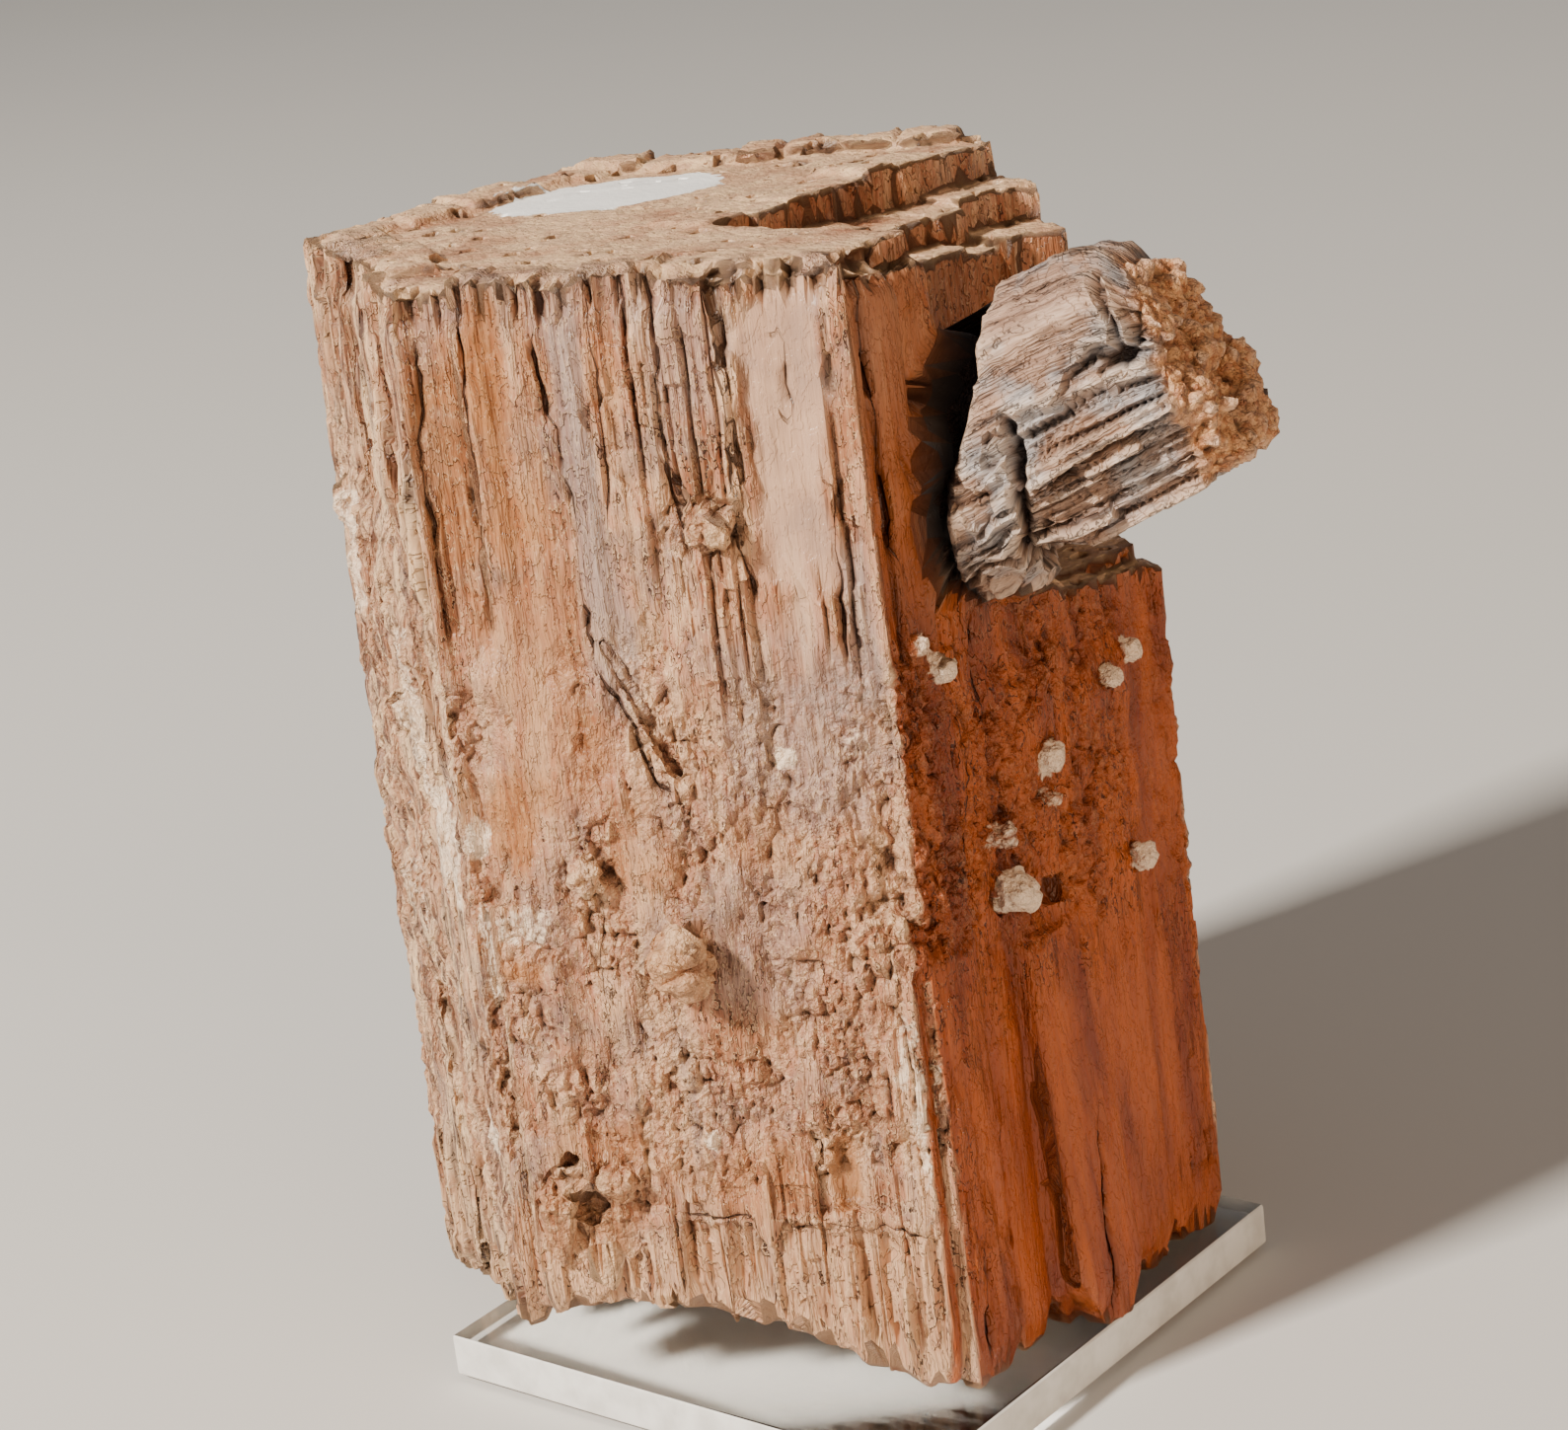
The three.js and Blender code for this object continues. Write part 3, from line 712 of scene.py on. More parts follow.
    def small_crystal(self, place: Reading) -> np.ndarray:
        """Smooth upper facet, ribs and ledges below it, a blocky left end and a granular free end."""
        front, lift, run = place.small.T
        wide, wide_edge = laths(place.around, run, 1.4, 11.0, 150)
        slim, slim_edge = laths(place.around, run, 0.62, 5.0, 160)
        ribs = wide * 0.8 - 0.45 * np.exp(-((wide_edge / 0.18) ** 2))
        ribs += slim * 0.5 - 0.34 * np.exp(-((slim_edge / 0.12) ** 2))
        edge = np.interp(run, (10.8, 12.8, 16.8, 21.5), (3.4, 2.7, 2.2, 3.5))
        edge += 0.35 * noise(np.stack([run / 1.6, run * 0], axis=1), 172)
        facet = ease(-0.15, 0.2, lift - edge) * ease(24.6, 23.4, run)
        plate = 0.7 + 0.16 * slim + 0.2 * wide + 0.12 * noise(place.own / 0.8, 174)
        height = ribs * (1 - facet) + plate * facet
        block = ease(0.3, -0.3, run - np.interp(lift, (-4.6, -1.6, 0.5, 2.4), (10.7, 12.6, 13.7, 14.2)))
        block *= 1 - facet
        step = lift / 1.2 + 0.7 * noise(place.own / 2.2, 176)
        _, _, tilt = cells(place.own / 1.5, 178)
        ledges = 0.7 + 0.75 * (step - np.floor(step) - 0.5) + 0.7 * (tilt - 0.5)
        height = height * (1 - block) + ledges * block
        for path, width, depth in SMALL_GROOVES:
            gap = gap_to_path(np.stack([run, lift], axis=1), path) + 0.22 * noise(place.own / 0.9, 182)
            height -= depth * np.exp(-((gap / width) ** 2)) * (front > 0)
        near, _, own = cells(place.own / 1.15, 180)
        finer, _, finer_own = cells(place.own / 0.6, 185)
        grains = (0.5 - near) * (0.5 + 1.0 * own) + (0.45 - finer) * 0.5 * finer_own
        end = self.small_end(place)
        return height * (1 - end) + grains * end + 0.15 * layered(place.own / 2.6, 190)

    def small_end(self, place: Reading) -> np.ndarray:
        """Share of the granular end of the smaller crystal."""
        wander = 1.4 * layered(place.own / 2.4, 195)
        start = np.interp(place.small[:, 1], (-5.0, -1.4, 2.5, 5.8), (23.6, 23.6, 24.4, 25.0))
        return ease(-0.5, 0.5, place.run + wander - start) * place.small_share

    def cracks(self) -> tuple[np.ndarray, np.ndarray, np.ndarray]:
        """The listed cracks.

        Returns:
            How deep they cut, each point's distance to the nearest one in half widths, with a
            sign for the two sides of it, and 1 where a crack is near.
        """
        place = self.reading
        wobble = 0.3 * noise(place.sheet(1.1, 2.6), 200) + 0.13 * noise(place.sheet(0.5, 0.9), 203)
        broken = 0.25 + 0.75 * ease(-0.35, 0.25, noise(place.sheet(3.0, 2.4), 206))
        depth = np.zeros(len(place.up))
        offset = np.full(len(place.up), FAR)
        lines = np.full(len(place.up), FAR)
        near = np.zeros(len(place.up))
        listed = [(side, crack) for side, cracks in CRACKS.items() for crack in cracks]
        for side, crack in listed:
            chosen = np.flatnonzero(place.on(side) > 0.5)
            run = np.array(crack.end) - crack.start
            spot = np.stack([place.across[chosen], place.up[chosen]], axis=1) - crack.start
            share = spot @ run / (run @ run)
            gap = (spot[:, 0] * run[1] - spot[:, 1] * run[0]) / np.linalg.norm(run) + wobble[chosen]
            open_start = ease(-0.02, 0.12, share) if crack.start[1] < 70.9 else share > -0.1
            taper = open_start * ease(1.02, 0.8, share) * broken[chosen]
            cut = crack.depth * taper * np.exp(-((gap / max(0.22, crack.width)) ** 2))
            depth[chosen] = np.maximum(depth[chosen], cut)
            closer = (np.abs(gap) < np.abs(offset[chosen])) & (taper > 0)
            offset[chosen[closer]] = gap[closer]
            lines[chosen[closer]] = gap[closer] / (crack.width * np.maximum(taper[closer], 0.05))
            near[chosen[closer]] = ease(0.04, 0.3, taper[closer])
        return depth, np.clip(lines, -FAR, FAR), near * ease(0.9, 0.45, np.abs(offset))

    def lumps(self) -> tuple[np.ndarray, np.ndarray]:
        """Height of the listed knobs and hollows, and where the knobs are."""
        place = self.reading
        rough = 0.3 * noise(place.own / 1.0, 220) + 0.2 * noise(place.own / 0.5, 222)
        total = np.zeros(len(place.up))
        knobs = np.zeros(len(place.up))
        listed = [(side, spot) for side, spots in LUMPS.items() for spot in spots]
        for side, spot in listed:
            sideways = (place.across - spot.across) / spot.half_across
            upward = (place.up - spot.up) / spot.half_up
            away = np.hypot(sideways, upward) + rough
            round_top = np.sqrt(np.clip(1 - away**2, 0, 1)) * place.on(side)
            total += spot.amount * round_top * (1 + 0.6 * rough)
            if spot.amount > 0:
                knobs = np.maximum(knobs, ease(1.25, 0.9, away) * place.on(side))
        return total, knobs

    def part(self, share: np.ndarray, form: Callable[[Reading], np.ndarray]) -> np.ndarray:
        """Heights of one form, worked out only where it has a share."""
        chosen = share > 0.01
        total = np.zeros(len(share))
        total[chosen] = form(self.reading.pick(chosen)) * share[chosen]
        return total

    def heights(self) -> np.ndarray:
        """All forms together, held within the stone's usual relief."""
        place = self.reading
        lively = np.array([LIVELINESS.get(side, 1.0) for side in Side])[place.side]
        quiet = (1 - 0.85 * self.calm) * lively * ease(14.6, 12.6, np.abs(place.across))
        total = self.part(place.wall * (1 - self.crust) * quiet, self.fibres)
        total += self.part(place.wall * self.crust, self.druse)
        total += self.part(place.top * np.where(self.paint > 0, 0.35, 1.0), self.cap)
        total += self.part(place.small_share, self.small_crystal)
        total += place.foot * 0.4 * layered(place.own / 2.0, 210)
        total += self.rim_columns() - self.cut
        return np.clip(total, *RELIEF_RANGE) + self.bulge - self.fringe()

    def fringe(self) -> np.ndarray:
        """How far the columns at the front's foot stand back under a scalloped ledge."""
        place = self.reading
        scallop = 0.45 * noise(np.stack([place.across / 0.8, place.up * 0], axis=1), 230)
        ledge = 11.2 - 0.1 * (place.across + 3.0) + scallop
        under = ease(0.2, -0.2, place.up - ledge) * ease(-5.0, -3.0, place.across)
        return 0.35 * under * place.on(Side.FRONT)


@dataclass
class Crystal:
    """The specimen: prism and smaller crystal grown as one, worked up from the plain solid."""

    node: str = "crystal"
    name: str = "aragonite"
    voxel: float = 0.22
    triangles: int = 196_000
    smoothing: int = 1
    normal_rounds: int = 3
    side_rounds: int = 8
    worn_rounds: int = 24
    bowl_rounds: int = 14
    plate_half: float = 20.3
    plate_top: float = 3.03
    lowest_tip: float = 1.3
    sharp_deg: float = 34.0

    def build(self) -> bpy.types.Object:
        """Makes the specimen's surface.

        Returns:
            The finished piece, without its finish.
        """
        piece = self.copy_of_solid()
        self.resurface(piece)
        self.carve(piece)
        self.thin(piece)
        return piece

    def copy_of_solid(self) -> bpy.types.Object:
        """A copy of the plain solid with its loose triangles joined."""
        select_only(bpy.data.objects[self.node])
        bpy.ops.object.duplicate()
        piece = bpy.context.view_layer.objects.active
        piece.name = self.name
        piece.data.name = self.name
        piece.data.materials.clear()
        bpy.ops.object.parent_clear(type="CLEAR_KEEP_TRANSFORM")
        for key in list(piece.keys()):
            del piece[key]
        bpy.ops.object.mode_set(mode="EDIT")
        bpy.ops.mesh.select_all(action="SELECT")
        bpy.ops.mesh.remove_doubles(threshold=1e-6)
        bpy.ops.object.mode_set(mode="OBJECT")
        return piece

    def resurface(self, piece: bpy.types.Object) -> None:
        """Gives the copy an even fine mesh, a little worn at its edges."""
        remesh = piece.modifiers.new("even", "REMESH")
        remesh.mode = "VOXEL"
        remesh.voxel_size = self.voxel * MM
        bpy.ops.object.modifier_apply(modifier=remesh.name)
        worn = piece.modifiers.new("worn", "SMOOTH")
        worn.factor = 0.5
        worn.iterations = self.smoothing
        bpy.ops.object.modifier_apply(modifier=worn.name)

    def carve(self, piece: bpy.types.Object) -> None:
        """Raises and cuts the surface's own forms and stores where each kind lies."""
        mesh = piece.data
        net = Net(mesh)
        points = read_vectors(mesh.vertices, "co")
        normals = net.relax(read_vectors(mesh.vertex_normals, "vector"), self.normal_rounds)
        normals /= np.maximum(np.linalg.norm(normals, axis=1, keepdims=True), 1e-9)
        reading = Reading(points, normals, net.relax(normals, self.side_rounds))
        relief = Relief(reading)
        moved = SideCrystalFrame().reshape(reading.small) * reading.small_share[:, None]
        moved = net.relax(moved, 10)
        turn = np.array(PrismFrame().matrix())[:3, :3]
        points = points + moved @ turn.T * MM + normals * (relief.height * MM)[:, None]
        points += self.filled_crevice(points) @ turn.T * MM
        points += self.filled_slots(points, reading) @ turn.T * MM
        lifted = self.trimmed_foot(points, reading)
        points += lifted @ turn.T * MM
        # Where the crystals meet: painted shadow there, and the points are smoothed
        seam = net.relax(self.joint_shadow(reading)[:, None], 6)[:, 0]
        worn = np.maximum(0.3 * relief.rim, 0.95 * np.clip(seam * 1.6, 0, 1))
        worn = np.maximum(worn, 0.9 * ease(0.02, 0.4, np.abs(lifted[:, 2])))
        points += (net.relax(points, self.worn_rounds) - points) * worn[:, None]
        over_plate = np.abs(points[:, :2]).max(axis=1) < self.plate_half * MM
        floor = np.where(over_plate, self.plate_top * MM, self.lowest_tip * MM)
        points[:, 2] = np.maximum(points[:, 2], floor)
        mesh.vertices.foreach_set("co", points.ravel())
        mesh.update()
        bowl = ((net.relax(points, self.bowl_rounds) - points) * normals).sum(axis=1) / MM
        bowl = net.relax(bowl[:, None], 1)[:, 0]
        for name, values in self.marks(relief, bowl, seam).items():
            store = mesh.attributes.new(name, "FLOAT", "POINT")
            store.data.foreach_set("value", values.astype(np.float32))
        store = mesh.attributes.new("grown", "FLOAT_VECTOR", "POINT")
        store.data.foreach_set("vector", reading.grown().astype(np.float32).ravel())

    def marks(self, relief: Relief, bowl: np.ndarray, seam: np.ndarray) -> dict[str, np.ndarray]:
        """Shares of each kind of surface, for the finishes.

        Args:
            relief: The surface's own forms.
            bowl: How far each point lies below its surroundings, in mm.
            seam: Share of the seam between the two crystals, which gets painted shadow.

        Returns:
            A number for each point, by the name of the attribute.
        """
        reading = relief.reading
        front_foot = reading.on(Side.FRONT) * ease(11.5, 9.5, reading.up)
        # Share of painted shade kept: less on the front foot and on the stepped corner's walls
        shade_kept = (1 - 0.85 * front_foot) * (1 - 0.5 * self.inside(reading))
        # Painted shade in the top's pits, reaching a little past their edge
        pits = 0.9 * relief.part(reading.top * (relief.paint < 0), relief.pit_shade)
        aged = relief.aged_rim()
        return {
            # Painted shade in the hollows, in the top's pits and at the seam between the crystals
            "hollow": np.maximum(shade_kept * ease(0.0, 0.27, bowl), np.maximum(seam, pits)),
            # Painted highlight on convex edges
            "crest": ease(0.03, 0.3, -bowl),
            "crust": relief.crust,
            "calm": relief.calm,
            "mauve": np.maximum(relief.share[Kind.MAUVE], 0.9 * aged),
            "amber": relief.share[Kind.AMBER],
            "chalk": relief.share[Kind.CHALK],
            # Deeper orange with painted shade and glow on the right side
            "shaded": self.shaded(reading),
            "pale": reading.on(Side.LEFT),
            # Paler tan streaks painted on the front foot as painted light
            "light": front_foot,
            "cap": reading.top * (1 - 0.8 * aged),
            "paint": relief.paint,
            "small": reading.small_share,
            "ochre": relief.end,
            "crack": relief.crack,
            "crack_near": relief.crack_near,
        }

    def filled_crevice(self, points: np.ndarray) -> np.ndarray:
        """Moves out the floor of the front's slanting crevice, in mm of the prism's frame."""
        own = PrismFrame().own(points)
        depth = PrismFrame().face + own[:, 1]
        gap = gap_to_path(own[:, [0, 2]], CREVICE)
        floor = 0.5 + 0.4 * noise(own / 0.9, 250)
        out = np.maximum(depth - floor, 0) * ease(2.2, 1.5, gap) * (depth < 6.0)
        return np.outer(out, (0.0, -1.0, 0.0))

    def filled_slots(self, points: np.ndarray, reading: Reading) -> np.ndarray:
        """Moves out the floor of the slots low on the right side, in mm of the prism's frame."""
        prism = PrismFrame()
        outward = prism.outward()[Side.RIGHT.value]
        own = prism.own(points)
        up = own[:, 2]
        depth = prism.face - own[:, :2] @ outward
        across = own[:, :2] @ prism.along()[Side.RIGHT.value]
        zone = ease(12.8, 11.6, np.abs(across)) * ease(3.0, 6.0, up) * ease(29.0, 26.0, up)
        zone *= (reading.normal[:, :2] @ outward > -0.2) * (1 - reading.foot)
        out = np.maximum(depth - 0.3, 0) * ease(3.6, 2.6, depth) * zone * 0.85
        return np.outer(out, (outward[0], outward[1], 0.0))

    def trimmed_foot(self, points: np.ndarray, reading: Reading) -> np.ndarray:
        """Moves the front foot's tips and gaps to its lower line, in mm of the prism's frame."""
        across, away, up = PrismFrame().own(points).T
        step = np.floor(across / 0.85 + 0.4 * noise(np.stack([across, up * 0], axis=1), 240))
        ragged = 0.9 * (lattice(step[:, None], 241) - 0.5) * ease(-6.0, 4.0, across)
        line = np.interp(across, FOOT_ACROSS, FOOT_UP) + ragged - 0.3
        depth = PrismFrame().face + away
        rise = np.maximum(line - up, 0) * ease(8.0, 5.0, depth)
        under = ease(-0.05, -0.4, reading.normal[:, 2]) * ease(5.0, 3.0, depth)
        drop = np.clip(line - up, -3.5, 0) * under * ease(14.0, 11.0, up)
        return np.outer((rise + drop) * (np.abs(across) < 13.9), (0.0, 0.0, 1.0))

    def shaded(self, reading: Reading) -> np.ndarray:
        """Deeper orange stone with painted shade and glow: the right side, less so near its top, and the
        stepped corner's walls.
        """
        inner = np.maximum(0.3 * self.inside(reading), reading.right_zone)
        shade_orange = np.maximum(reading.on(Side.RIGHT), reading.wall * inner)
        return shade_orange * (1 - 0.3 * ease(58, 66, reading.up))

    def inside(self, reading: Reading) -> np.ndarray:
        """1 on the walls of the stepped corner."""
        return (reading.depth > 3) & (reading.up > 44) & (reading.side != Side.RIGHT.value)

    def joint_shadow(self, reading: Reading) -> np.ndarray:
        """Painted shadow where the smaller crystal meets the prism."""
        share = reading.small_share
        notch = SideCrystalFrame().notch(reading.small) * ease(0.05, 0.3, share)
        return np.maximum(3.2 * share * (1 - share), notch) * ease(50.0, 52.0, reading.up)

    def thin(self, piece: bpy.types.Object) -> None:
        """Takes away points where the surface is plain, and rounds the shading."""
        mesh = piece.data
        mesh.calc_loop_triangles()
        fewer = piece.modifiers.new("fewer", "DECIMATE")
        fewer.ratio = min(1.0, self.triangles / len(mesh.loop_triangles))
        fewer.use_collapse_triangulate = True
        bpy.ops.object.modifier_apply(modifier=fewer.name)
        bpy.ops.object.shade_smooth_by_angle(angle=math.radians(self.sharp_deg))


def select_only(piece: bpy.types.Object) -> None:
    """Selects one object and makes it the active one."""
    bpy.ops.object.select_all(action="DESELECT")
    piece.select_set(True)
    bpy.context.view_layer.objects.active = piece


def read_vectors(items: bpy.types.bpy_prop_collection, name: str) -> np.ndarray:
    """Three numbers of each item, one row for each."""
    flat = np.empty(len(items) * 3, np.float32)
    items.foreach_get(name, flat)
    return flat.reshape(-1, 3).astype(float)


# Node graphs


class Graph:
    """Places nodes in a tree and joins them."""

    def __init__(self, tree: bpy.types.NodeTree) -> None:
        """Works on one tree."""
        self.tree = tree

    def feed(self, socket: Socket, value: object) -> None:
        """Joins a socket to another one, or sets its value."""
        if isinstance(value, bpy.types.NodeSocket):
            self.tree.links.new(value, socket)
        else:
            socket.default_value = value

    def node(self, kind: str, inputs: dict | None = None, **settings: object) -> bpy.types.Node:
        """Adds a node.

        Args:
            kind: Blender's name for the node.
            inputs: Values or sockets by input name or number.
            settings: The node's own settings.

        Returns:
            The new node.
        """
        made = self.tree.nodes.new(kind)
        for name, value in settings.items():
            setattr(made, name, value)
        for name, value in (inputs or {}).items():
            self.feed(made.inputs[name], value)
        return made

    def mark(self, name: str) -> Socket:
        """Share of one kind that the mesh stores."""
        return self.node("ShaderNodeAttribute", attribute_name=name).outputs["Fac"]

    def grown(self) -> Socket:
        """Place on the crystal that the mesh stores, in mm."""
        return self.node("ShaderNodeAttribute", attribute_name="grown").outputs["Vector"]

    def mix(self, share: object, low: object, high: object) -> Socket:
        """Mixes two colours."""
        return self.node("ShaderNodeMix", {0: share, 6: low, 7: high}, data_type="RGBA").outputs[2]

    def sum(self, how: str, low: object, high: object) -> Socket:
        """Works out one sum of two numbers."""
        return self.node("ShaderNodeMath", {0: low, 1: high}, operation=how).outputs[0]

    def times(self, *values: object) -> Socket:
        """Product of several numbers."""
        return functools.reduce(lambda low, high: self.sum("MULTIPLY", low, high), values)

    def most(self, *values: object) -> Socket:
        """Largest of several numbers."""
        return functools.reduce(lambda low, high: self.sum("MAXIMUM", low, high), values)

    def place(self) -> Socket:
        """Place on the piece, in mm."""
        place = self.node("ShaderNodeTexCoord").outputs["Object"]
        return self.scaled(place, (1 / MM, 1 / MM, 1 / MM))

    def bump(self, height: Socket, distance: float, strength: float) -> Socket:
        """Normal of a fine relief that is so many mm deep."""
        inputs = {"Height": height, "Distance": distance * MM, "Strength": strength}
        return self.node("ShaderNodeBump", inputs).outputs[0]

    def between(self, share: Socket, low: Socket, high: Socket) -> Socket:
        """Mixes two numbers."""
        return self.node("ShaderNodeMix", {0: share, 2: low, 3: high}).outputs[0]

    def span(
        self, value: Socket, low: float, high: float, start: float = 0.0, end: float = 1.0
    ) -> Socket:
        """Stretches the range from low to high to the range from start to end.

        Args:
            value: The number.
            low: Where the range starts.
            high: Where the range ends.
            start: What low becomes.
            end: What high becomes.

        Returns:
            The stretched number, held within the new range.
        """
        inputs = {"Value": value, "From Min": low, "From Max": high, "To Min": start, "To Max": end}
        return self.node("ShaderNodeMapRange", inputs).outputs[0]

    def ramp(self, value: Socket, stops: list[tuple[float, Colour]]) -> Socket:
        """Runs through colours as a value goes from 0 to 1."""
        made = self.node("ShaderNodeValToRGB", {"Fac": value})
        points = made.color_ramp.elements
        while len(points) < len(stops):
            points.new(0.5)
        for point, (place, colour) in zip(points, stops):
            point.position = place
            point.color = colour
        return made.outputs["Color"]

    def scaled(self, vector: Socket, scale: tuple[float, float, float]) -> Socket:
        """A place stretched along each direction."""
        inputs = {"Vector": vector, "Scale": scale}
        return self.node("ShaderNodeMapping", inputs).outputs["Vector"]

    def cloud(self, vector: Socket, scale: float, detail: float = 4.0, rough: float = 0.55) -> Socket:
        """Soft scatter about 0.5."""
        inputs = {"Vector": vector, "Scale": scale, "Detail": detail, "Roughness": rough}
        return self.node("ShaderNodeTexNoise", inputs).outputs["Fac"]

    def pebbles(self, vector: Socket, scale: float) -> bpy.types.Node:
        """Packed grains."""
        return self.node("ShaderNodeTexVoronoi", {"Vector": vector, "Scale": scale})

    def finish(self, made: bpy.types.Node, results: dict[str, Socket]) -> bpy.types.NodeTree:
        """Joins a group's results to its output node and gives the group."""
        for name, socket in results.items():
            self.feed(made.inputs[name], socket)
        return self.tree

    def group(self, tree: bpy.types.NodeTree, inputs: dict) -> bpy.types.Node:
        """Places a node group."""
        return self.node("ShaderNodeGroup", inputs, node_tree=tree)


class Effects:
    """Effects that several finishes share, each a node group."""

    def __init__(self) -> None:
        """Builds every group once."""
        self.streaks = self.build_streaks()
        self.druse = self.build_druse()
        self.chips = self.build_chips()
        self.weather = self.build_shade_and_highlight()

    def start(self, name: str, inputs: dict[str, str], outputs: dict[str, str]) -> tuple:
        """Starts a group.

        Args:
            name: The group's name.
            inputs: Socket kinds by input name.
            outputs: Socket kinds by output name.

        Returns:
            The graph, the node of its inputs and the node of its outputs.
        """
        tree = bpy.data.node_groups.new(name, "ShaderNodeTree")
        for socket, kind in inputs.items():
            tree.interface.new_socket(socket, in_out="INPUT", socket_type=kind)
        for socket, kind in outputs.items():
            tree.interface.new_socket(socket, in_out="OUTPUT", socket_type=kind)
        graph = Graph(tree)
        return graph, graph.node("NodeGroupInput"), graph.node("NodeGroupOutput")

    def build_streaks(self) -> bpy.types.NodeTree:
        """Streaks along the growth: broad bands of colour, fine lines, and their height."""
        outputs = {name: "NodeSocketFloat" for name in ("Broad", "Fine", "Height")}
        graph, given, made = self.start("growth streaks", {"Grown": "NodeSocketVector"}, outputs)
        place = given.outputs["Grown"]
        broad = graph.cloud(graph.scaled(place, (0.36, 0.36, 0.055)), 1.0, 3.0, 0.6)
        fine = graph.cloud(graph.scaled(place, (2.6, 2.6, 0.2)), 1.0, 2.0, 0.6)
        hair = graph.cloud(graph.scaled(place, (7.5, 7.5, 0.55)), 1.0, 1.0, 0.6)
        height = graph.sum("ADD", fine, graph.times(hair, 0.55))
        return graph.finish(made, {"Broad": broad, "Fine": fine, "Height": height})

    def build_druse(self) -> bpy.types.NodeTree:
        """Small grains of a crust: their tone, the gaps between them, and their height."""
        outputs = {name: "NodeSocketFloat" for name in ("Grain", "Gap", "Height")}
        inputs = {"Place": "NodeSocketVector", "Fineness": "NodeSocketFloat"}
        graph, given, made = self.start("druse", inputs, outputs)
        place = graph.node("ShaderNodeVectorMath", {0: given.outputs["Place"]}, operation="SCALE")
        graph.feed(place.inputs["Scale"], given.outputs["Fineness"])
        stir = graph.cloud(place.outputs[0], 1.3, 1.0)
        moved = graph.node("ShaderNodeVectorMath", {0: place.outputs[0], 1: stir}, operation="ADD")
        spot = moved.outputs[0]
        large = graph.pebbles(spot, 1.0)
        small = graph.cloud(spot, 3.1, 1.0)
        tint = graph.node("ShaderNodeSeparateColor", {0: large.outputs["Color"]}).outputs[0]
        gap = graph.span(large.outputs["Distance"], 0.62, 0.85)
        low = graph.sum("SUBTRACT", 1.0, large.outputs["Distance"])
        height = graph.sum("SUBTRACT", low, graph.times(small, 0.6))
        return graph.finish(made, {"Grain": tint, "Gap": gap, "Height": height})

    def build_chips(self) -> bpy.types.NodeTree:
        """Small broken terraces: their height, the painted shadow at the foot of each step and the
        painted highlight on its lip.
        """
        outputs = {name: "NodeSocketFloat" for name in ("Height", "Dark", "Pale")}
        inputs = {"Grown": "NodeSocketVector", "Fineness": "NodeSocketFloat"}
        graph, given, made = self.start("chips", inputs, outputs)
        place = graph.node("ShaderNodeVectorMath", {0: given.outputs["Grown"]}, operation="SCALE")
        graph.feed(place.inputs["Scale"], given.outputs["Fineness"])
        level = graph.cloud(graph.scaled(place.outputs[0], (0.9, 0.9, 0.42)), 1.0, 4.0, 0.62)
        level = graph.times(level, 9.0)
        rise = graph.node("ShaderNodeMath", {0: level}, operation="FRACT").outputs[0]
        flat = graph.node("ShaderNodeMath", {0: level}, operation="FLOOR").outputs[0]
        height = graph.sum("ADD", flat, graph.span(rise, 0.74, 1.0))
        # Painted shadow at each step's foot and painted highlight on its lip
        dark = graph.span(rise, 0.7, 0.86)
        pale = graph.span(rise, 0.2, 0.0)
        return graph.finish(made, {"Height": graph.times(height, 0.2), "Dark": dark, "Pale": pale})

    def build_shade_and_highlight(self) -> bpy.types.NodeTree:
        """Painted shade in the hollows and painted highlight on the edges."""
        inputs = {
            "Colour": "NodeSocketColor",
            "Dirt": "NodeSocketColor",
            "Bare": "NodeSocketColor",
            "Hollow": "NodeSocketFloat",
            "Crest": "NodeSocketFloat",
        }
        graph, given, made = self.start("weather", inputs, {"Colour": "NodeSocketColor"})
        # Painted highlight on convex edges, then painted shade in the hollows
        worn = graph.mix(given.outputs["Crest"], given.outputs["Colour"], given.outputs["Bare"])
        with_shade = graph.mix(given.outputs["Hollow"], worn, given.outputs["Dirt"])
        return graph.finish(made, {"Colour": with_shade})


def new_material(name: str) -> tuple[bpy.types.Material, Graph, bpy.types.Node]:
    """Starts a finish.

    Args:
        name: The material's name.

    Returns:
        The material, its graph and its surface shader.
    """
    material = bpy.data.materials.new(name)
    material.use_nodes = True
    shader = material.node_tree.nodes["Principled BSDF"]
    return material, Graph(material.node_tree), shader


class Maps:
    """Scatter, streaks, grains and chips that a crystal's finish works from."""

    def __init__(self, graph: Graph, effects: Effects, grain: float, chip: float) -> None:
        """Places the shared groups in a material.

        Args:
            graph: The material's graph.
            effects: The shared node groups.
            grain: How fine the grains are.
            chip: How fine the chips are.
        """
        self.graph = graph
        self.grown = graph.grown()
        self.place = graph.place()
        streaks = graph.group(effects.streaks, {"Grown": self.grown}).outputs
        druse = graph.group(effects.druse, {"Place": self.place, "Fineness": grain}).outputs
        chips = graph.group(effects.chips, {"Grown": self.grown, "Fineness": chip}).outputs
        self.broad = streaks["Broad"]
        self.fine = streaks["Fine"]
        self.streak_height = streaks["Height"]
        self.grain = druse["Grain"]
        self.gap = druse["Gap"]
        self.grain_height = druse["Height"]
        self.chip_height = chips["Height"]
        self.chip_shadow = chips["Dark"]
        self.chip_highlight = chips["Pale"]
        self.lines = graph.span(self.fine, 0.32, 0.68)


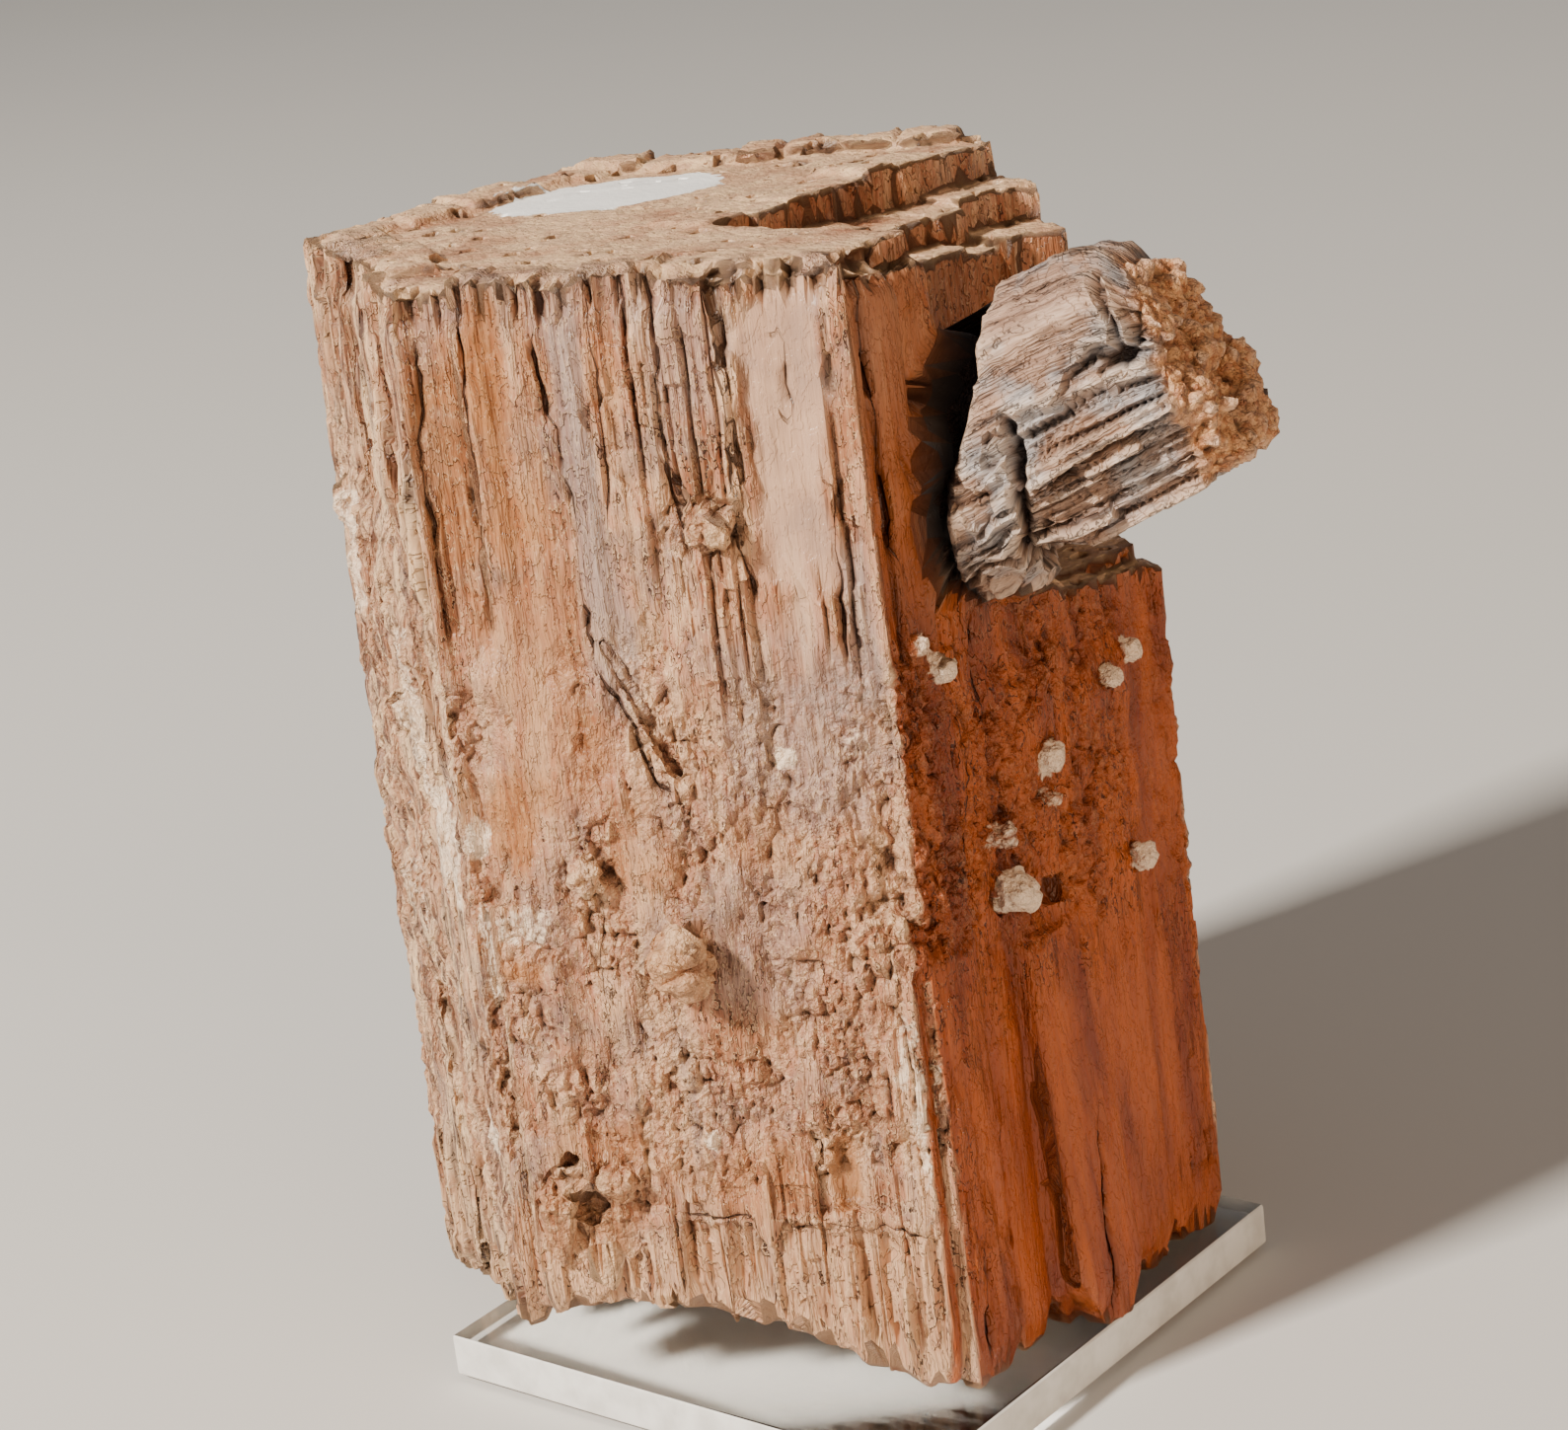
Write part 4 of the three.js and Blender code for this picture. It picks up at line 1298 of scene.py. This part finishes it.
@dataclass(frozen=True)
class PrismFinish:
    """Orange-brown to pinkish, streaked crystal with cream crust, white growths and a paint patch."""

    brown: Colour = tone(112, 62, 34)
    rust: Colour = tone(148, 86, 52)
    tan: Colour = tone(210, 166, 130)
    pink: Colour = tone(178, 120, 92)
    mauve: Colour = tone(140, 112, 102)
    grey: Colour = tone(166, 146, 136)
    amber: Colour = tone(138, 80, 34)
    honey: Colour = tone(182, 122, 70)
    # Orange of the right side: partly its own deeper colour, partly painted shade and translucent glow
    deep: Colour = tone(122, 43, 0)
    glow: Colour = tone(180, 81, 0)
    satin: Colour = tone(208, 172, 144)
    # Cream of the crust and the left side, also the painted highlight on convex edges and chip lips
    cream: Colour = tone(234, 198, 154)
    sand: Colour = tone(194, 144, 104)
    white: Colour = tone(252, 226, 196)
    # Painted shade in hollows, pits, cracks and gaps
    dirt: Colour = tone(44, 17, 5)
    top_tan: Colour = tone(202, 164, 132)
    top_red: Colour = tone(162, 106, 76)
    pit: Colour = tone(92, 34, 14)
    paint: Colour = tone(255, 254, 251)
    grain: float = 1.9
    chip: float = 0.8
    gloss: float = 0.36
    relief_mm: float = 0.38
    relief_strength: float = 0.95

    def body(self, maps: Maps, patchy: Socket) -> Socket:
        """Colour of the crystal itself, under any crust.

        Args:
            maps: The shared scatter.
            patchy: Broad scatter.

        Returns:
            The colour.
        """
        graph = maps.graph
        lines = maps.lines
        stops = [
            (0.3, self.brown), (0.42, self.rust), (0.5, self.pink), (0.58, self.tan), (0.7, self.mauve),
        ]
        colour = graph.ramp(maps.broad, stops)
        colour = graph.mix(graph.span(patchy, 0.52, 0.64, 0.0, 0.85), colour, self.mauve)
        colour = graph.mix(graph.span(patchy, 0.46, 0.34, 0.0, 0.85), colour, self.rust)
        colour = graph.mix(graph.times(lines, 0.42), colour, self.tan)
        pale = graph.times(graph.mark("pale"), graph.span(patchy, 0.35, 0.6))
        pale = graph.times(pale, graph.span(lines, 0.1, 0.75, 0.1, 0.8))
        pale = graph.times(pale, graph.span(maps.broad, 0.4, 0.52, 0.1, 1.0))
        colour = graph.mix(pale, colour, self.cream)
        satin = graph.mix(graph.span(patchy, 0.4, 0.6, 0.0, 0.5), self.satin, self.mauve)
        colour = graph.mix(graph.span(graph.mark("calm"), 0.4, 1.0, 0.0, 0.75), colour, satin)
        # Painted light: paler tan streaks on the front foot
        light = graph.times(graph.mark("light"), graph.span(lines, 0.2, 0.8, 0.4, 0.85))
        colour = graph.mix(light, colour, self.tan)
        mauve = graph.mix(lines, self.mauve, self.grey)
        colour = graph.mix(graph.times(graph.mark("mauve"), 0.85), colour, mauve)
        amber = graph.mix(lines, self.amber, self.honey)
        colour = graph.mix(graph.times(graph.mark("amber"), 0.78), colour, amber)
        # Right side and stepped walls: own deeper orange with painted shade and glow, more amber towards
        # the top
        shade_orange = graph.mix(graph.span(maps.broad, 0.35, 0.65), self.deep, self.glow)
        shade_orange = graph.mix(graph.times(lines, 0.2), shade_orange, self.amber)
        up = graph.node("ShaderNodeSeparateXYZ", {0: maps.grown}).outputs["Z"]
        shade_orange = graph.mix(graph.span(up, 42.0, 58.0, 0.0, 0.55), shade_orange, self.amber)
        return graph.mix(graph.times(graph.mark("shaded"), 0.96), colour, shade_orange)

    def crusted(self, maps: Maps, patchy: Socket, colour: Socket) -> Socket:
        """Colour with the druse, the granular top and the chips' pale lips over it.

        Args:
            maps: The shared scatter.
            patchy: Broad scatter.
            colour: Colour of the crystal itself.

        Returns:
            The colour.
        """
        graph = maps.graph
        shaded = graph.mark("shaded")
        druse = graph.mix(maps.grain, self.sand, self.cream)
        druse = graph.mix(graph.span(patchy, 0.42, 0.58), druse, self.pink)
        bare_amber = graph.span(graph.mark("amber"), 0.0, 1.0, 1.0, 0.25)
        covered = graph.times(graph.mark("crust"), graph.span(maps.grain_height, 0.15, 0.7), bare_amber)
        colour = graph.mix(graph.times(covered, graph.span(shaded, 0.0, 1.0, 0.75, 0.16)), colour, druse)
        cap = graph.mix(maps.grain, self.top_tan, self.cream)
        cap = graph.mix(graph.span(patchy, 0.45, 0.7), cap, self.top_red)
        few = graph.times(graph.span(maps.grain, 0.84, 0.88), graph.span(patchy, 0.6, 0.45))
        pits = graph.times(few, graph.span(maps.grain_height, 0.35, 0.5), 0.9)
        cap = graph.mix(pits, cap, self.pit)
        colour = graph.mix(graph.times(graph.mark("cap"), 0.92), colour, cap)
        # Painted highlight on the chips' lips, weaker on the shaded side
        lip = graph.times(maps.chip_highlight, self.lively(graph), graph.span(shaded, 0.0, 1.0, 0.65, 0.12))
        return graph.mix(lip, colour, self.cream)

    def lively(self, graph: Graph) -> Socket:
        """Share of the chips, which polished faces lack."""
        return graph.span(graph.mark("calm"), 0.0, 0.6, 1.0, 0.0)

    def hollows(self, maps: Maps, crack: Socket) -> Socket:
        """Share of painted shade in hollows, cracks, gaps, chip steps and the left side's rib grooves.

        Args:
            maps: The shared scatter.
            crack: Share of cracks.

        Returns:
            The share.
        """
        graph = maps.graph
        # Painted shadow at the foot of each chip step
        foot = graph.times(maps.chip_shadow, self.lively(graph), 0.85, graph.span(maps.lines, 0.6, 0.2))
        foot = graph.times(foot, graph.span(graph.mark("cap"), 0.0, 1.0, 1.0, 0.2))
        # Painted shade in the gaps between crust grains
        gaps = graph.times(maps.gap, graph.mark("crust"), 0.35)
        # Painted shade in the grooves between the left side's ribs
        ribs = graph.times(graph.mark("pale"), graph.span(maps.fine, 0.52, 0.4, 0.0, 0.62))
        # Painted shade in the hollows, pits and seam
        deep = graph.times(graph.mark("hollow"), 0.86)
        return graph.most(deep, foot, ribs, gaps, graph.times(crack, 0.85))

    def build(self, effects: Effects) -> bpy.types.Material:
        """Builds the material.

        Args:
            effects: The shared node groups.

        Returns:
            The material.
        """
        material, graph, shader = new_material("aragonite prism")
        maps = Maps(graph, effects, self.grain, self.chip)
        patchy = graph.cloud(maps.place, 0.17, 3.0, 0.62)
        shaded = graph.mark("shaded")
        # Painted shade inside the cracks
        crack = graph.node("ShaderNodeMath", {0: graph.mark("crack")}, operation="ABSOLUTE").outputs[0]
        crack = graph.times(graph.span(crack, 1.15, 0.7), graph.mark("crack_near"))
        bare_amber = graph.span(graph.mark("amber"), 0, 1, 1.0, 0.1)
        # Painted shade in hollows and cracks, painted highlight on convex edges
        weather = graph.group(effects.weather, {
            "Colour": self.crusted(maps, patchy, self.body(maps, patchy)),
            "Dirt": self.dirt,
            "Bare": self.cream,
            "Hollow": self.hollows(maps, crack),
            # Painted highlight on convex edges, weaker on the shaded side and on amber
            "Crest": graph.times(graph.mark("crest"), graph.span(shaded, 0, 1, 0.5, 0.12), bare_amber),
        })
        speckle = graph.sum("ADD", graph.mark("chalk"), graph.times(maps.grain_height, 0.5))
        chalk = graph.times(graph.span(speckle, 0.66, 0.98), graph.span(graph.mark("chalk"), 0.1, 0.4))
        colour = graph.mix(graph.times(chalk, 0.85), weather.outputs["Colour"], self.white)
        ragged = graph.times(graph.cloud(maps.place, 0.9, 2.0), 0.3)
        ragged = graph.sum("ADD", graph.mark("paint"), ragged)
        colour = graph.mix(graph.span(ragged, 0.15, 0.18), colour, self.paint)
        graph.feed(shader.inputs["Base Color"], colour)
        smooth = graph.span(graph.most(graph.mark("calm"), shaded), 0, 1, 0.42, 0.34)
        rough = graph.sum("ADD", smooth, graph.times(graph.mark("crust"), 0.1))
        graph.feed(shader.inputs["Roughness"], rough)
        shader.inputs["Specular IOR Level"].default_value = self.gloss
        graph.feed(shader.inputs["Normal"], self.relief(maps, crack))
        return material

    def relief(self, maps: Maps, crack: Socket) -> Socket:
        """Fine relief that is too small for the mesh.

        Args:
            maps: The shared scatter.
            crack: Share of cracks.

        Returns:
            The normal.
        """
        graph = maps.graph
        level = graph.sum("ADD", maps.streak_height, graph.times(maps.chip_height, 2.2))
        level = graph.times(level, graph.span(graph.mark("calm"), 0, 1, 1.0, 0.2))
        level = graph.between(graph.times(graph.mark("crust"), 0.75), level, maps.grain_height)
        level = graph.between(graph.mark("cap"), level, graph.times(maps.grain_height, 0.35))
        level = graph.sum("SUBTRACT", level, graph.times(crack, 1.5))
        level = graph.times(level, graph.span(graph.mark("paint"), 0.0, 0.06, 1.0, 0.25))
        return graph.bump(level, self.relief_mm, self.relief_strength)


@dataclass(frozen=True)
class SmallCrystalFinish:
    """Taupe-grey, ribbed crystal with patches of painted bluish sheen and an ochre granular end."""

    taupe: Colour = tone(176, 142, 120)
    dark: Colour = tone(118, 84, 64)
    # Painted bluish sheen
    sheen_grey: Colour = tone(160, 158, 160)
    ochre: Colour = tone(172, 104, 56)
    straw: Colour = tone(230, 174, 120)
    # Painted shade in hollows, grooves and gaps
    dirt: Colour = tone(34, 16, 8)
    # Painted highlight on convex edges
    bare: Colour = tone(222, 194, 168)
    grain: float = 2.4
    chip: float = 0.9
    relief_mm: float = 0.5
    relief_strength: float = 1.0

    def build(self, effects: Effects) -> bpy.types.Material:
        """Builds the material.

        Args:
            effects: The shared node groups.

        Returns:
            The material.
        """
        material, graph, shader = new_material("aragonite small crystal")
        maps = Maps(graph, effects, self.grain, self.chip)
        patchy = graph.cloud(maps.place, 0.22)
        ochre = graph.mark("ochre")
        colour = graph.mix(maps.lines, self.dark, self.taupe)
        # Patches of painted bluish sheen
        colour = graph.mix(graph.span(patchy, 0.48, 0.62, 0.0, 0.85), colour, self.sheen_grey)
        end = graph.mix(maps.grain, self.ochre, self.straw)
        end_share = graph.times(ochre, graph.span(patchy, 0.35, 0.6, 1.0, 0.85))
        off_end = graph.span(ochre, 0.0, 1.0, 1.0, 0.1)
        # Painted shade in the fine grooves away from the granular end
        groove = graph.times(graph.span(maps.fine, 0.42, 0.34, 0.0, 0.75), off_end)
        # Painted shadow at the foot of each chip step
        steps = graph.times(maps.chip_shadow, graph.span(maps.fine, 0.6, 0.4, 0, 0.8))
        # Painted shade in the gaps between the end's grains
        gaps = graph.times(maps.gap, ochre, 0.6)
        # Painted shade in hollows, grooves and gaps, painted highlight on convex edges
        weather = graph.group(effects.weather, {
            "Colour": graph.mix(end_share, colour, end),
            "Dirt": self.dirt,
            "Bare": self.bare,
            "Hollow": graph.most(graph.times(graph.mark("hollow"), 0.95), groove, steps, gaps),
            # Painted highlight on convex edges
            "Crest": graph.times(graph.mark("crest"), 0.6),
        })
        graph.feed(shader.inputs["Base Color"], weather.outputs["Colour"])
        graph.feed(shader.inputs["Roughness"], graph.span(patchy, 0.35, 0.65, 0.65, 0.45))
        level = graph.sum("ADD", maps.streak_height, graph.times(maps.chip_height, 0.8))
        level = graph.between(ochre, level, graph.times(maps.grain_height, 0.4))
        normal = graph.bump(level, self.relief_mm, self.relief_strength)
        graph.feed(shader.inputs["Normal"], normal)
        return material


@dataclass(frozen=True)
class ClearFinish:
    """Polished clear acrylic, with fine smears."""

    tint: Colour = tone(250, 251, 250)
    ior: float = 1.49

    def build(self) -> bpy.types.Material:
        """Builds the material, which lets the lamps' light through to what is under it."""
        material, graph, shader = new_material("clear acrylic")
        place = graph.place()
        smear = graph.cloud(graph.scaled(place, (0.3, 1.4, 1.0)), 1.0, 5.0)
        graph.feed(shader.inputs["Roughness"], graph.span(smear, 0.35, 0.7, 0.02, 0.09))
        shader.inputs["Base Color"].default_value = self.tint
        shader.inputs["Transmission Weight"].default_value = 1.0
        shader.inputs["IOR"].default_value = self.ior
        lamp = graph.node("ShaderNodeLightPath").outputs["Is Shadow Ray"]
        through = graph.node("ShaderNodeBsdfTransparent").outputs[0]
        both = graph.node("ShaderNodeMixShader", {0: lamp, 1: shader.outputs[0], 2: through})
        graph.feed(material.node_tree.nodes["Material Output"].inputs["Surface"], both.outputs[0])
        return material


@dataclass(frozen=True)
class FrostedFinish:
    """Sawn acrylic edge: white, matt and finely scored along the cut."""

    white: Colour = tone(236, 234, 229)
    dull: Colour = tone(214, 211, 204)

    def build(self) -> bpy.types.Material:
        """Builds the material."""
        material, graph, shader = new_material("frosted acrylic edge")
        place = graph.place()
        scored = graph.cloud(graph.scaled(place, (2.2, 2.2, 0.5)), 1.0, 4.0)
        blotch = graph.cloud(place, 0.35, 3.0)
        colour = graph.mix(graph.span(blotch, 0.4, 0.65), self.white, self.dull)
        graph.feed(shader.inputs["Base Color"], colour)
        graph.feed(shader.inputs["Roughness"], graph.span(scored, 0.3, 0.7, 0.5, 0.8))
        graph.feed(shader.inputs["Normal"], graph.bump(scored, 0.08, 0.35))
        return material


@dataclass(frozen=True)
class FloorFinish:
    """Plain pale floor."""

    pale: Colour = tone(206, 204, 200)
    paler: Colour = tone(212, 210, 206)

    def build(self) -> bpy.types.Material:
        """Builds the material."""
        material, graph, shader = new_material("pale floor")
        place = graph.node("ShaderNodeTexCoord").outputs["Object"]
        colour = graph.mix(graph.cloud(place, 6.0), self.pale, self.paler)
        graph.feed(shader.inputs["Base Color"], colour)
        shader.inputs["Roughness"].default_value = 0.8
        return material


# The other pieces


@dataclass
class Plate:
    """Square clear display plate with frosted sawn edges."""

    node: str = "display_plate"
    name: str = "acrylic_plate"
    side: float = 40.0
    thick: float = 3.0
    bevel: float = 0.3
    bevel_steps: int = 3
    bevel_profile: float = 0.6
    sharp_deg: float = 25.0
    level_share: float = 0.85

    def build(self) -> bpy.types.Object:
        """Makes the plate.

        Returns:
            The finished piece, without its finish.
        """
        bpy.ops.object.select_all(action="DESELECT")
        bpy.ops.mesh.primitive_cube_add(size=1, location=(0, 0, self.thick / 2 * MM))
        piece = bpy.context.active_object
        piece.name = self.name
        piece.scale = (self.side * MM, self.side * MM, self.thick * MM)
        bpy.ops.object.transform_apply(location=True, rotation=True, scale=True)
        bpy.ops.object.mode_set(mode="EDIT")
        bpy.ops.mesh.select_all(action="SELECT")
        width = self.bevel * MM
        bpy.ops.mesh.bevel(offset=width, segments=self.bevel_steps, profile=self.bevel_profile)
        bpy.ops.object.mode_set(mode="OBJECT")
        bpy.ops.object.shade_smooth_by_angle(angle=math.radians(self.sharp_deg))
        return piece

    def dress(self, piece: bpy.types.Object) -> None:
        """Clear top and underside, frosted edges."""
        piece.data.materials.append(ClearFinish().build())
        piece.data.materials.append(FrostedFinish().build())
        for face in piece.data.polygons:
            face.material_index = int(abs(face.normal.z) < self.level_share)


@dataclass(frozen=True)
class Lamp:
    """A square soft light that faces the object: where it stands, its side, its watts, its colour."""

    name: str
    place: tuple[float, float, float]
    size: float
    power: float
    colour: Colour
    aim: tuple[float, float, float] = (0, 0, 0.04)

    def build(self) -> None:
        """Adds the light."""
        towards = Vector(self.aim) - Vector(self.place)
        turn = towards.to_track_quat("-Z", "Y").to_euler()
        bpy.ops.object.light_add(type="AREA", location=self.place, rotation=turn)
        light = bpy.context.active_object
        light.name = self.name
        light.data.size = self.size
        light.data.energy = self.power
        light.data.color = self.colour[:3]


@dataclass(frozen=True)
class Studio:
    """Floor, soft lights and the camera."""

    floor_side: float = 3.0
    floor_drop: float = 0.0004
    camera_at: tuple[float, float, float] = (0.152239, -0.180241, 0.123281)
    azimuth_deg: float = 40.3264
    elevation_deg: float = 18.7002
    roll_deg: float = -7.0489
    lens: float = 87.835
    sensor: float = 36.0
    near_clip: float = 0.01
    surround: Colour = tone(232, 236, 242)
    surround_strength: float = 0.19
    lamps: tuple[Lamp, ...] = (
        Lamp("key", (-0.30, -0.78, 0.70), 0.12, 26.5, tone(255, 246, 234)),
        Lamp("fill", (0.85, -0.25, 0.40), 0.6, 4.6, tone(255, 218, 176)),
    )

    def build_floor(self) -> bpy.types.Object:
        """Lays the floor."""
        bpy.ops.object.select_all(action="DESELECT")
        bpy.ops.mesh.primitive_plane_add(size=self.floor_side, location=(0, 0, -self.floor_drop))
        floor = bpy.context.active_object
        floor.name = "floor"
        bpy.ops.object.transform_apply(location=True, rotation=True, scale=True)
        floor.data.materials.append(FloorFinish().build())
        return floor

    def build_lights(self) -> None:
        """Key light from the left, a weak fill from the right, and a pale surround."""
        for lamp in self.lamps:
            lamp.build()
        world = bpy.data.worlds.new("surround")
        bpy.context.scene.world = world
        world.use_nodes = True
        backdrop = world.node_tree.nodes["Background"]
        backdrop.inputs["Color"].default_value = self.surround
        backdrop.inputs["Strength"].default_value = self.surround_strength

    def build_camera(self) -> None:
        """Sets the camera where the object is seen from."""
        azimuth, elevation, roll = (
            math.radians(angle) for angle in (self.azimuth_deg, self.elevation_deg, self.roll_deg)
        )
        back = Vector((
            math.sin(azimuth) * math.cos(elevation),
            -math.cos(azimuth) * math.cos(elevation),
            math.sin(elevation),
        ))
        right = Vector((math.cos(azimuth), math.sin(azimuth), 0))
        up = back.cross(right)
        across = right * math.cos(roll) + up * math.sin(roll)
        upward = up * math.cos(roll) - right * math.sin(roll)
        bpy.ops.object.camera_add(location=self.camera_at)
        camera = bpy.context.active_object
        turn = Matrix((across, upward, back)).transposed().to_4x4()
        camera.matrix_world = Matrix.Translation(self.camera_at) @ turn
        camera.data.sensor_width = self.sensor
        camera.data.lens = self.lens
        camera.data.clip_start = self.near_clip
        bpy.context.scene.camera = camera


def dress_crystal(piece: bpy.types.Object, effects: Effects) -> None:
    """Gives the prism and the smaller crystal their own finish.

    Args:
        piece: The specimen.
        effects: The shared node groups.
    """
    mesh = piece.data
    mesh.materials.append(PrismFinish().build(effects))
    mesh.materials.append(SmallCrystalFinish().build(effects))
    share = np.empty(len(mesh.vertices), np.float32)
    mesh.attributes["small"].data.foreach_get("value", share)
    corners = np.empty(len(mesh.loops), np.int32)
    mesh.loops.foreach_get("vertex_index", corners)
    faces = share[corners].reshape(-1, 3).mean(axis=1) > 0.5
    mesh.polygons.foreach_set("material_index", faces.astype(np.int32))
    mesh.update()


def report(piece: bpy.types.Object) -> None:
    """Logs a piece's name and number of faces."""
    LOG.info("%s: %d faces", piece.name, len(piece.data.polygons))


def main() -> None:
    """Builds every piece in order."""
    logging.basicConfig(level=logging.INFO, format="%(name)s: %(message)s")
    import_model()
    effects = Effects()

    crystal = Crystal()
    stone = crystal.build()
    dress_crystal(stone, effects)
    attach(stone, "root")
    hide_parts(crystal.node)
    report(stone)

    plate = Plate()
    base = plate.build()
    plate.dress(base)
    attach(base, "root")
    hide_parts(plate.node)
    report(base)

    studio = Studio()
    report(studio.build_floor())
    studio.build_lights()
    studio.build_camera()

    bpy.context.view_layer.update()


if __name__ == "__main__":
    main()
